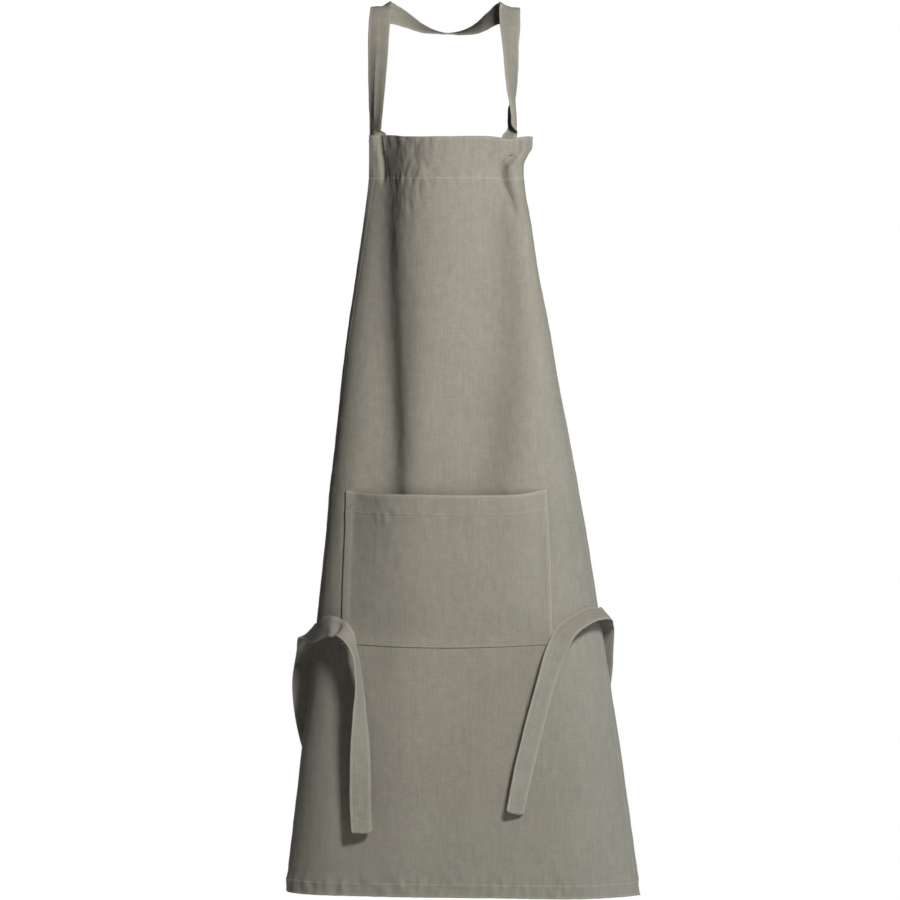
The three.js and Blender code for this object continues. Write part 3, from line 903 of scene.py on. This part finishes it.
def sewing_thread(cloth):
    """Twisted cotton thread, a little lighter than the cloth."""
    name = "Sewing thread"
    if name in bpy.data.materials:
        return bpy.data.materials[name]
    material, tree, shader = new_material(name)
    place = add_node(tree, "ShaderNodeTexCoord").outputs["Object"]
    uneven = add_node(tree, "ShaderNodeTexNoise", {"Vector": place, "Scale": 350.0, "Detail": 3.0})
    color = np.array(cloth.thread_color)
    twist = add_node(
        tree, "ShaderNodeTexWave",
        {"Vector": place, "Scale": 900.0, "Distortion": 2.0}, bands_direction="DIAGONAL").outputs["Fac"]
    bump = add_node(tree, "ShaderNodeBump", {"Strength": 0.4, "Distance": 0.0001, "Height": twist})
    fill_sockets(tree, shader, {
        "Base Color": mixed_color(tree, uneven, (*color * 0.8, 1), (*color * 1.2, 1)),
        "Roughness": 0.8,
        "Sheen Weight": 0.15,
        "Normal": bump,
    })
    return material


# Pieces.

def pocket_draw(across, down):
    """How deep the pocket draws the body cloth in: along its mouth and just outside its three seams."""
    v = np.clip((down - POCKET_DOWN) / POCKET_HEIGHT, 0, 1)
    left, right = along(POCKET_SIDES, "left", v), along(POCKET_SIDES, "right", v)
    u = np.clip(2 * (across - left) / (right - left) - 1, -1, 1)
    beside = np.maximum(left - across, across - right)
    from_mouth = down - POCKET_DOWN - along(POCKET_BOW, "mouth", u)
    from_foot = down - POCKET_DOWN - POCKET_HEIGHT - along(POCKET_BOW, "foot", u)
    over_sides = smoothstep(-2, 6, from_mouth) * smoothstep(6, -2, from_foot)
    grooves = bell(beside - SEAM_DRAW_OFF, SEAM_DRAW_REACH) * over_sides
    grooves += bell(from_foot - SEAM_DRAW_OFF, SEAM_DRAW_REACH) * smoothstep(3, -3, beside)
    mouth = bell(from_mouth - MOUTH_DRAW_DOWN, MOUTH_DRAW_REACH) * smoothstep(2, -18, beside)
    return MOUTH_DRAW * mouth + SEAM_DRAW * grooves


def dent_depth(dents, across, down):
    """Depth of the small dents of a table, each long one way and short the other."""
    depth = np.zeros_like(across)
    for k in range(len(dents["down"])):
        lean = math.radians(dents["lean"][k])
        right, low = across - dents["across"][k], down - dents["down"][k]
        main = right * math.cos(lean) + low * math.sin(lean)
        off = low * math.cos(lean) - right * math.sin(lean)
        depth += dents["depth"][k] * bell(main, dents["long"][k]) * bell(off, dents["short"][k])
    return depth


def body_relief(across, down, cut):
    """Small unevenness of the body cloth: seams drawn in, puckers beside them, dents and soft swells."""
    from_side, from_foot = body_margins(across, down)
    swell = waves([BODY_SWELL], across, down) * smoothstep(120, 700, down) + waves(BODY_WAVES, across, down)
    seams = [
        (down - TOP_STITCH, 14, 1.0, across, 21),
        (down - cut.top_hem / MM, 13, 0.8 + 0.5 * bell(across + 40, 45), across, 22),
        (from_foot - cut.bottom_hem / MM + 5, 12, 2.6, across, 23),
        (from_side - cut.side_hem / MM, 10, 0.30, down, 24),
    ]
    swell += puckers(seams, BODY_TUCKS)
    swell += waves([BIB_WRINKLES], across, down) * bell(across + 45, 42) * bell(down - 45, 48)
    swell -= crease_depth(across, down, LINES) + pocket_draw(across, down)
    return swell - dent_depth(BIB_DENTS, across, down)


def body_grid(cut):
    """Places across and down of the body cloth's grid, with lines along every seam."""
    seam_downs = [*RIM_STEPS, BODY_LENGTH - 5, *(BODY_LENGTH - RIM_STEPS)]
    for seam in (TOP_STITCH, cut.top_hem / MM, BODY_LENGTH - cut.bottom_hem / MM):
        seam_downs.extend(seam + SEAM_STEPS[SEAM_STEPS > -seam])
    regular = [0.0]
    while regular[-1] < BODY_LENGTH:
        regular.append(regular[-1] + along(ROW_STEPS, "step", regular[-1]))
    downs = lines_with(regular[:-1], [d for d in seam_downs if 0 <= d <= BODY_LENGTH])
    hem = cut.side_hem / MM
    margins = np.array([*RIM_STEPS, 5, hem - 3, hem - 1.5, hem, hem + 1.5, hem + 3, hem + 6])
    shares = np.linspace(-1, 1, BODY_COLUMNS)[1:-1]
    inner = half_width(downs)[:, None] - margins[-1]
    half = half_width(downs)[:, None]
    acrosses = np.concatenate([margins - half, inner * shares, half - margins[::-1]], 1)
    return acrosses, np.broadcast_to(downs[:, None], acrosses.shape), margins


def turned_hem(past):
    """One inside a turned hem, falling to nothing past its inner edge."""
    return smoothstep(1.2, -0.6, past - 1)


def hemmed(cloth, *turned):
    """Thickness of cloth that is doubled where the greatest of the given shares is one."""
    return (cloth.thickness + (cloth.hem_thickness - cloth.thickness) * np.maximum.reduce(turned)) / MM


def body_thickness(across, down, cloth, cut):
    """Thickness of the body cloth, with a step on the inside where each hem ends."""
    from_side, from_foot = body_margins(across, down)
    hems = (from_side, cut.side_hem), (down, cut.top_hem), (from_foot, cut.bottom_hem)
    return hemmed(cloth, *[turned_hem(distance - hem / MM) for distance, hem in hems])


def body_wear(across, down, cut):
    """How far the body cloth is worn pale along its edges and seams."""
    from_side, from_foot = body_margins(across, down)
    hems = (down - cut.top_hem / MM, from_foot - cut.bottom_hem / MM)
    edges = sum(bell(distance, EDGE_WORN) for distance in (down, from_foot, from_side))
    seams = sum(bell(distance, SEAM_WORN) for distance in hems)
    return 0.8 * edges + 0.5 * seams


def nearest_line(values, wanted):
    return int(np.argmin(np.abs(values - wanted)))


def both_sides(front, back, out, pick):
    """A seam on the two faces of a sheet, picked out of its grids."""
    return [(front[pick], out[pick]), (back[pick], -out[pick])]


def finish_piece(scene, piece, node, seams):
    """Sews a piece of cloth and puts it in the frame with its stitches, in place of its plain solid."""
    stitches = sew(piece.name.replace("cloth", "stitches"), seams, scene.apron_stitch, scene.apron_cloth)
    for made in (piece, stitches):
        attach(made, "root")
    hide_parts(node)


def box_sides(cut):
    """The four sides of the stitched box over a strap end, as places across and down from its middle."""
    reach = cut.strap_width / MM / 2 - BOX_INSET
    high, low = BOX_DOWNS
    corners = [(-reach, high), (reach, high), (reach, low), (-reach, low), (-reach, high)]
    return [np.linspace(start, end, BOX_POINTS).T for start, end in zip(corners, corners[1:])]


class APRON_OT_body_panel(bpy.types.Operator):
    """Builds the body cloth: bib and skirt in one piece, with its hems"""

    bl_idname = "apron.body_panel"
    bl_label = "Body Panel"

    def execute(self, context):
        cloth, cut = context.scene.apron_cloth, context.scene.apron_cut
        across, down, margins = body_grid(cut)
        place = cloth_place(across, down)[0]
        front = place + grid_normals(place) * body_relief(across, down, cut)[..., None]
        out = grid_normals(front)
        back = front - out * body_thickness(across, down, cloth, cut)[..., None]
        wear = body_wear(across, down, cut)
        weave = np.stack([across, -down], -1)
        body = closed_sheet("body_cloth", front, back, weave, wear, cotton("Body cotton", cloth))
        downs = down[:, 0]
        seams = []
        for level in (TOP_STITCH, cut.top_hem / MM, BODY_LENGTH - cut.bottom_hem / MM):
            seams += both_sides(front, back, out, np.s_[nearest_line(downs, level), 3:-3])
        side = nearest_line(margins, cut.side_hem / MM)
        for column in (side, -1 - side):
            seams += both_sides(front, back, out, np.s_[1:-1, column])
        for middle in (LEFT_STRAP_ACROSS, RIGHT_STRAP_ACROSS):
            for line, level in box_sides(cut):
                point, outward, _ = cloth_place(middle + line, level)
                seams.append((point + outward * body_relief(middle + line, level, cut)[:, None], outward))
        for u, v in pocket_seam_lines(cut):
            across, down = pocket_on_cloth(u, v)
            point, outward, _ = cloth_place(across, down)
            seams.append((point - outward * (cloth.thickness / MM + UNDER_LIFT), -outward))
        finish_piece(context.scene, body, "body_panel", seams)
        return {"FINISHED"}


def pocket_on_cloth(u, v):
    """Places across and down the cloth for shares across (-1 to 1) and down (0 to 1) the pocket."""
    left, right = along(POCKET_SIDES, "left", v), along(POCKET_SIDES, "right", v)
    mouth = along(POCKET_BOW, "mouth", u)
    foot = POCKET_HEIGHT + along(POCKET_BOW, "foot", u)
    return left + (right - left) * (u + 1) / 2, POCKET_DOWN + mouth + (foot - mouth) * v


def pocket_seam_lines(cut):
    """The pocket's seam to the body as shares across and down: two sides and the foot."""
    inset = 1 - cut.pocket_seam / MM / POCKET_HALF
    foot = 1 - cut.pocket_seam / MM / POCKET_HEIGHT
    along_side, along_foot = POCKET_SEAM_POINTS
    down, across = np.linspace(0.01, foot, along_side), np.linspace(-inset, inset, along_foot)
    level = np.full(along_foot, foot)
    return [(np.full(along_side, -inset), down), (across, level), (np.full(along_side, inset), down)]


def fold_shift(across, down):
    """How far the folds of the bib move the cloth from where it hangs without them."""
    return cloth_place(across, down)[0] - cloth_place(across, down, np.maximum(down, POCKET_CALM_DOWN))[0]


def pocket_place(u, v):
    """Places of the pocket's inner face: sewn down on three sides, drawn smooth between its side seams
    and standing off the body towards the mouth."""
    across, down = pocket_on_cloth(u, v)
    seated, outward, _ = cloth_place(across, down)
    share = (u[..., None] + 1) / 2
    drawn = fold_shift(along(POCKET_SIDES, "left", v), down) * (1 - share)
    drawn = drawn + fold_shift(along(POCKET_SIDES, "right", v), down) * share - fold_shift(across, down)
    from_side = (1 - np.abs(u)) * POCKET_HALF
    from_foot = (1 - v) * POCKET_HEIGHT
    free, loose = (
        smoothstep(POCKET_SEAM, side_reach, from_side) * smoothstep(POCKET_SEAM, foot_reach, from_foot)
        for side_reach, foot_reach in (POCKET_FREE, POCKET_LOOSE))
    stand = np.sum(drawn * outward, -1) * loose + POCKET_FULLNESS * free
    stand = (stand + np.hypot(stand, POCKET_EASE * loose)) / 2
    face = seated + outward * stand[..., None]
    for _ in range(POCKET_SMOOTHING):
        level = (face[:, :-2] + 2 * face[:, 1:-1] + face[:, 2:]) / 4
        face[:, 1:-1] += loose[:, 1:-1, None] * (level - face[:, 1:-1])
    return face, outward, from_side, from_foot


def pocket_relief(u, v, from_side, from_foot, cut):
    """Small unevenness of the pocket cloth along its seams and over its face."""
    across, down = u * POCKET_HALF, v * POCKET_HEIGHT
    near = np.minimum(from_side, from_foot)
    swell = waves(POCKET_WAVES, across, down) * smoothstep(2, POCKET_FOLLOW, near)
    seam = cut.pocket_seam / MM
    seams = [
        (down - cut.pocket_hem / MM, 11, 0.5 + 0.6 * bell(across + 95, 60), across, 33),
        (from_foot - seam, 10, 0.35, across, 34),
        (from_side - seam, 9, 0.3, down, 35),
    ]
    return swell + puckers(seams, POCKET_TUCKS)


class APRON_OT_pocket(bpy.types.Operator):
    """Builds the wide patch pocket, open along its hemmed mouth"""

    bl_idname = "apron.pocket"
    bl_label = "Pocket"

    def execute(self, context):
        cloth, cut = context.scene.apron_cloth, context.scene.apron_cut
        seam, hem = cut.pocket_seam / MM, cut.pocket_hem / MM
        margin = np.array([*FINE_RIM_STEPS, seam, seam + 1.6, seam + 3.4, seam + 6])
        inner = np.linspace(-POCKET_HALF + margin[-1], POCKET_HALF - margin[-1], POCKET_COLUMNS)[1:-1]
        us = np.concatenate([margin - POCKET_HALF, inner, POCKET_HALF - margin[::-1]]) / POCKET_HALF
        wanted = np.concatenate([FINE_RIM_STEPS, hem + SEAM_STEPS, POCKET_HEIGHT - margin])
        vs = lines_with(np.arange(0, POCKET_HEIGHT, POCKET_ROW_STEP), wanted) / POCKET_HEIGHT
        u, v = np.meshgrid(us, vs)
        face, outward, from_side, from_foot = pocket_place(u, v)
        mouth_off = v * POCKET_HEIGHT
        edges = [smoothstep(2, -2, distance - seam - 4) for distance in (from_side, from_foot)]
        thick = hemmed(cloth, turned_hem(mouth_off - hem), *edges)
        across, down = pocket_on_cloth(u, v)
        near = np.minimum(from_side, from_foot)
        follow = body_relief(across, down, cut) * (1 - smoothstep(0, POCKET_FOLLOW, near))
        lift = POCKET_LIFT + thick + follow + pocket_relief(u, v, from_side, from_foot, cut)
        front = face + outward * lift[..., None]
        out = grid_normals(front)
        back = front - out * thick[..., None]
        wear = 0.9 * (bell(from_side, 1.6) + bell(from_foot, 1.6) + bell(mouth_off, 1.8))
        wear += 0.55 * bell(mouth_off - hem, 1.4)
        weave = np.stack([across + POCKET_WEAVE, -down], -1)
        pocket = closed_sheet("pocket_cloth", front, back, weave, wear, cotton("Pocket cotton", cloth))
        side, foot = nearest_line(margin, seam), nearest_line(vs, 1 - seam / POCKET_HEIGHT)
        mouth = nearest_line(vs, hem / POCKET_HEIGHT)
        seams = both_sides(front, back, out, np.s_[mouth, side:-side])
        for pick in (np.s_[1:foot + 1, side], np.s_[foot, side:-side], np.s_[1:foot + 1, -1 - side]):
            seams.append((front[pick], out[pick]))
        finish_piece(context.scene, pocket, "pocket", seams)
        return {"FINISHED"}


def rest_behind(points, cloth, cut):
    """How far points of a strap end have to move inwards to lie against the back of the cloth."""
    side = np.sign(points[:, 0:1])
    level = -NECK_DROP - points[:, 2:3]
    across = side * (half_width(level) - np.arange(0, 90, 1.0)[None])
    down = level + top_lift(across, np.maximum(level, 0))
    place, outward, _ = cloth_place(across, np.maximum(down, 0))
    best = np.argmin(np.hypot(place[..., 0] - points[:, 0:1], place[..., 1] - points[:, 1:2]), 1)
    row = np.arange(len(points))
    outward = outward[row, best]
    behind = place[row, best] - points
    behind[:, 2] = 0
    wanted = (cloth.hem_thickness + cut.strap_thickness / 2) / MM + CLEARANCE
    short = np.maximum(wanted - np.sum(behind * outward, 1), 0)
    return -outward * (short * smoothstep(-EDGE_FADE, -EDGE_FADE / 3, down[row, best]))[:, None]


def seat(scene, across, down, wide_down, rise):
    """A place on the back of the body where a strap end lies flat under its stitches."""
    cloth, cut = scene.apron_cloth, scene.apron_cut
    point, outward, sideways = cloth_place(across, down)
    point = point - outward * ((cloth.hem_thickness + cut.strap_thickness / 2) / MM + CLEARANCE)
    if wide_down:
        return [*point, 0, 0, 1, 0, 0]
    reach = np.array([1, -1]) * cut.strap_width / MM / 2
    turns = cloth_angle(across + reach, cloth_law(np.full(2, down), np.full(2, down)))
    return [*point, *sideways, rise * math.degrees(turns[0] - turns[1]), 0]


def path_rows(path):
    """Places of a path table, each with the direction of the strap's width, its curl and its crease."""
    lean, turn = np.radians(path["lean"]), np.radians(path["turn"])
    wide = [np.cos(turn) * np.cos(lean), np.sin(turn), np.cos(turn) * np.sin(lean)]
    none = np.zeros_like(lean)
    rows = [path["x"], path["y"], path["z"], *wide, path.get("curl", none), path.get("vee", none)]
    return np.stack(rows, 1).tolist()


def make_strap(scene, node, places, wide_m, tucks, seed, dents, ends):
    """A folded strap along places, stitched along its edges, tucked behind the cloth at its ends and, where
    its far end is free, stitched across that end."""
    cloth, cut = scene.apron_cloth, scene.apron_cut
    places, width = np.array(places), wide_m / MM
    run = np.concatenate([[0], np.cumsum(np.linalg.norm(np.diff(places[:, :3], axis=0), axis=1))])
    stations = dict(zip("run x y z wx wy wz curl vee".split(), np.column_stack([run, places]).T))
    length = run[-1]
    end_steps = [*FINE_RIM_STEPS, END_STITCH, 5, 6.5, 8, END_BOX - 1.5, END_BOX, END_BOX + 1.5]
    wanted = np.concatenate([FINE_RIM_STEPS, length - np.array(end_steps)])
    s = lines_with(np.arange(0, length, STRAP_ROW_STEP), wanted)

    def vectors(keys, at):
        return np.stack([along(stations, key, at) for key in keys], 1)

    at = vectors("xyz", s)
    ahead, behind = vectors("xyz", np.minimum(s + 1, length)), vectors("xyz", np.maximum(s - 1, 0))
    forward = unit(ahead - behind)
    wide = vectors(("wx", "wy", "wz"), s)
    wide = unit(wide - forward * np.sum(wide * forward, 1, keepdims=True))
    face = np.cross(forward, wide)
    rolled = along(stations, "curl", s)
    curl = np.radians(np.where(np.abs(rolled) < LEAST_CURL, LEAST_CURL, rolled))[:, None, None]
    half, seam = width / 2, cut.strap_seam / MM
    edge = np.array([0, 0.7, 1.6, seam, seam + 1.2, seam + 2.6])
    inner = np.linspace(edge[-1] - half, half - edge[-1], STRAP_COLUMNS)[1:-1]
    offsets = np.concatenate([edge - half, inner, half - edge[::-1]])
    corner = END_ROUND if ends else 0.01
    from_end = np.clip(length - s, 0, corner)
    taper = corner - np.sqrt(corner ** 2 - (corner - from_end) ** 2)
    across = offsets[None] * (1 - taper / half)[:, None]
    bend = curl * across[..., None] / width
    radius = width / curl
    wide, face = wide[:, None], face[:, None]
    rise = 1 - np.cos(bend) - curl * curl / 24
    middle = at[:, None] + wide * radius * np.sin(bend) + face * radius * rise
    out = face * np.cos(bend) - wide * np.sin(bend)
    run_at, off_at = np.broadcast_arrays(s[:, None], across)
    from_edge = half - np.abs(off_at)
    sides = np.where(off_at < 0, 0.0, 9.0)
    pucker = 0.45 * ripple(seed, run_at / 13, sides + 0.5) + 0.25 * ripple(seed + 1, run_at / 6, sides + 0.5)
    relief = pucker * bell(from_edge, 5) + 0.5 * ripple(seed + 2, run_at / 55, off_at / 20 + 3)
    from_line = np.abs(off_at - STRAP_CREASE)
    groove = sum(np.clip(1 - from_line / reach, 0, 1) for reach in STRAP_CREASE_REACHES)
    crease = along(stations, "vee", s)[:, None] * groove + dent_depth(dents, off_at, length - run_at)
    tucked = (s < tucks[0]) | (s > length - tucks[1])
    clear = smoothstep(STRAP_EASE, 0, np.minimum(s - tucks[0], length - tucks[1] - s))
    relief = (relief - crease) * (1 - clear)[:, None]
    middle = middle + out * relief[..., None]
    shift = np.zeros_like(middle)
    shift[tucked] = rest_behind(middle[tucked].reshape(-1, 3), cloth, cut).reshape(middle[tucked].shape)
    middle = middle + shift
    plump = 1 - STRAP_RIM + STRAP_RIM * smoothstep(0, STRAP_RIM_REACH, from_edge)
    plump -= STRAP_PINCH * bell(from_edge - seam, STRAP_PINCH_REACH)
    thick = cut.strap_thickness / MM * plump
    front, back = middle + out * thick[..., None] / 2, middle - out * thick[..., None] / 2
    wear = 0.8 * bell(from_edge, 1.4) + 0.25 * bell(from_edge - seam, 1.0)
    weave = np.stack([off_at + STRAP_WEAVE_STEP * seed, run_at], -1)
    strap = closed_sheet(node + "_cloth", front, back, weave, wear, cotton("Strap cotton", cloth))
    line = nearest_line(edge, seam)
    last = nearest_line(s, length - END_STITCH) if ends else len(s) - 2
    box = nearest_line(s, length - END_BOX)
    seams = []
    for column in (line, -1 - line):
        seams += both_sides(front, back, out, np.s_[2:last + 1, column])
    if ends:
        for row in (last, box):
            seams += both_sides(front, back, out, np.s_[row, line:-line])
    finish_piece(scene, strap, node, seams)


class APRON_OT_neck_strap(bpy.types.Operator):
    """Builds the neck strap, sewn behind both top corners of the bib"""

    bl_idname = "apron.neck_strap"
    bl_label = "Neck Strap"

    def execute(self, context):
        scene = context.scene
        left = [seat(scene, LEFT_STRAP_ACROSS, down, False, 1) for down in (STRAP_TUCK, STRAP_LEAVE)]
        right = [seat(scene, RIGHT_STRAP_ACROSS, down, False, -1) for down in (STRAP_LEAVE, STRAP_TUCK)]
        places = [*left, *path_rows(NECK_PATH), *right]
        tucks = (STRAP_PRESSED, STRAP_PRESSED)
        width = scene.apron_cut.strap_width
        make_strap(scene, "neck_strap", places, width, tucks, 51, NO_DENTS, False)
        return {"FINISHED"}


class APRON_OT_waist_ties(bpy.types.Operator):
    """Builds the two waist ties, draped over the sides to the front"""

    bl_idname = "apron.waist_ties"
    bl_label = "Waist Ties"

    def execute(self, context):
        scene = context.scene
        half = float(half_width(TIE_DOWN))
        width = scene.apron_cut.tie_width
        for node, side, path, dents, seed in TIES:
            sewn = [seat(scene, side * (half - inset), TIE_DOWN, True, 1) for inset in (TIE_TUCK, TIE_LEAVE)]
            places = [*sewn, *path_rows(path)]
            make_strap(scene, node, places, width, (TIE_TUCK, 0), seed, dents, True)
        return {"FINISHED"}


# Stage.

CAMERA_PLACE = (0.0046, -8.07, -0.595)
LIGHT_AIM = (0.0, -0.05, -0.45)

# Lights: name, place, size, the setting that holds its power, and colour.
LIGHTS = (
    ("Key light", (0.56, -1.39, -0.03), 0.32, "key_power", (1.0, 0.985, 0.97)),
    ("Fill light", (1.404, -0.173, -0.963), 0.6, "fill_power", (0.76, 0.94, 1.04)),
    ("Edge light", (-1.294, -0.163, 0.30), 0.6, "edge_power", (0.95, 1.0, 0.97)),
    ("Back light 1", (-0.75, 1.9, 0.1), 0.6, "back_power", (1, 1, 1)),
    ("Back light 2", (0.75, 1.9, 0.1), 0.6, "back_power", (1, 1, 1)),
)
FLOOR_RADIUS = 1.15
FLOOR_SIDES = 96


def area_light(name, place, size, power, color):
    data = bpy.data.lights.new(name, "AREA")
    data.shape = "DISK"
    data.size = size
    data.energy = power
    data.color = color
    light = link(name, data)
    light.location = place
    light.rotation_euler = (Vector(LIGHT_AIM) - Vector(place)).to_track_quat("-Z", "Y").to_euler()


def studio_world(ambient):
    """White behind the object, with softer light from the walls on it."""
    world = bpy.data.worlds.new("Studio")
    world.use_nodes = True
    tree = world.node_tree
    tree.nodes.clear()
    walls = add_node(tree, "ShaderNodeBackground", {"Color": (1.0, 0.99, 0.97, 1), "Strength": ambient})
    white = add_node(tree, "ShaderNodeBackground", {"Color": (1, 1, 1, 1), "Strength": 1.0})
    ray = add_node(tree, "ShaderNodeLightPath")
    mix = add_node(tree, "ShaderNodeMixShader", {0: ray.outputs["Is Camera Ray"], 1: walls, 2: white})
    add_node(tree, "ShaderNodeOutputWorld", {"Surface": mix})
    return world


def floor_material():
    material, tree, shader = new_material("Pale floor")
    place = add_node(tree, "ShaderNodeTexCoord").outputs["Object"]
    cloudy = add_node(tree, "ShaderNodeTexNoise", {"Vector": place, "Scale": 3.0, "Detail": 4.0})
    tone = mixed_color(tree, cloudy, (0.80, 0.80, 0.79, 1), (0.86, 0.86, 0.85, 1))
    fill_sockets(tree, shader, {"Base Color": tone, "Roughness": 0.85})
    return material


class APRON_OT_stage(bpy.types.Operator):
    """Sets up the camera, the lights, the white surround and the pale floor"""

    bl_idname = "apron.stage"
    bl_label = "Stage"

    def execute(self, context):
        scene, stage = context.scene, context.scene.apron_stage
        data = bpy.data.cameras.new("Camera")
        data.sensor_width = 36.0
        data.lens = stage.lens
        data.clip_end = 100.0
        camera = link("Camera", data)
        camera.location = CAMERA_PLACE
        camera.rotation_euler = (math.pi / 2, 0, 0)
        scene.camera = camera
        for name, place, size, power, color in LIGHTS:
            area_light(name, place, size, getattr(stage, power), color)
        scene.world = studio_world(stage.ambient)
        scene.view_settings.view_transform = "Standard"
        level = CAD_BOX[0].z - stage.floor_drop
        around = np.linspace(0, 2 * np.pi, FLOOR_SIDES, endpoint=False)
        rim = np.stack([FLOOR_RADIUS * np.cos(around), FLOOR_RADIUS * np.sin(around), around * 0 + level], 1)
        mesh = bpy.data.meshes.new("floor")
        mesh.from_pydata(rim.tolist(), [], [list(range(FLOOR_SIDES))])
        mesh.materials.append(floor_material())
        link("floor", mesh)
        return {"FINISHED"}


class APRON_PT_panel(bpy.types.Panel):
    """Lists the apron's pieces and its settings"""

    bl_idname = "APRON_PT_panel"
    bl_label = "Cotton Apron"
    bl_space_type = "VIEW_3D"
    bl_region_type = "UI"
    bl_category = "Apron"

    def draw(self, context):
        layout = self.layout
        for operator in OPERATORS:
            layout.operator(operator.bl_idname)
        for name, group in SETTINGS.items():
            box = layout.box()
            for key in group.__annotations__:
                box.prop(getattr(context.scene, name), key)


SETTINGS = {
    "apron_cloth": ApronCloth,
    "apron_cut": ApronCut,
    "apron_stitch": ApronStitch,
    "apron_stage": ApronStage,
}
OPERATORS = (
    APRON_OT_stage,
    APRON_OT_body_panel,
    APRON_OT_pocket,
    APRON_OT_neck_strap,
    APRON_OT_waist_ties,
)


def register():
    for group in (*SETTINGS.values(), *OPERATORS, APRON_PT_panel):
        bpy.utils.register_class(group)
    for name, group in SETTINGS.items():
        setattr(bpy.types.Scene, name, bpy.props.PointerProperty(type=group))


def unregister():
    for name in SETTINGS:
        delattr(bpy.types.Scene, name)
    for group in (APRON_PT_panel, *reversed(OPERATORS), *reversed(SETTINGS.values())):
        bpy.utils.unregister_class(group)


def main():
    register()
    bpy.ops.apron.stage()
    bpy.ops.apron.body_panel()
    bpy.ops.apron.pocket()
    bpy.ops.apron.neck_strap()
    bpy.ops.apron.waist_ties()
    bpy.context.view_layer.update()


if __name__ == "__main__":
    main()
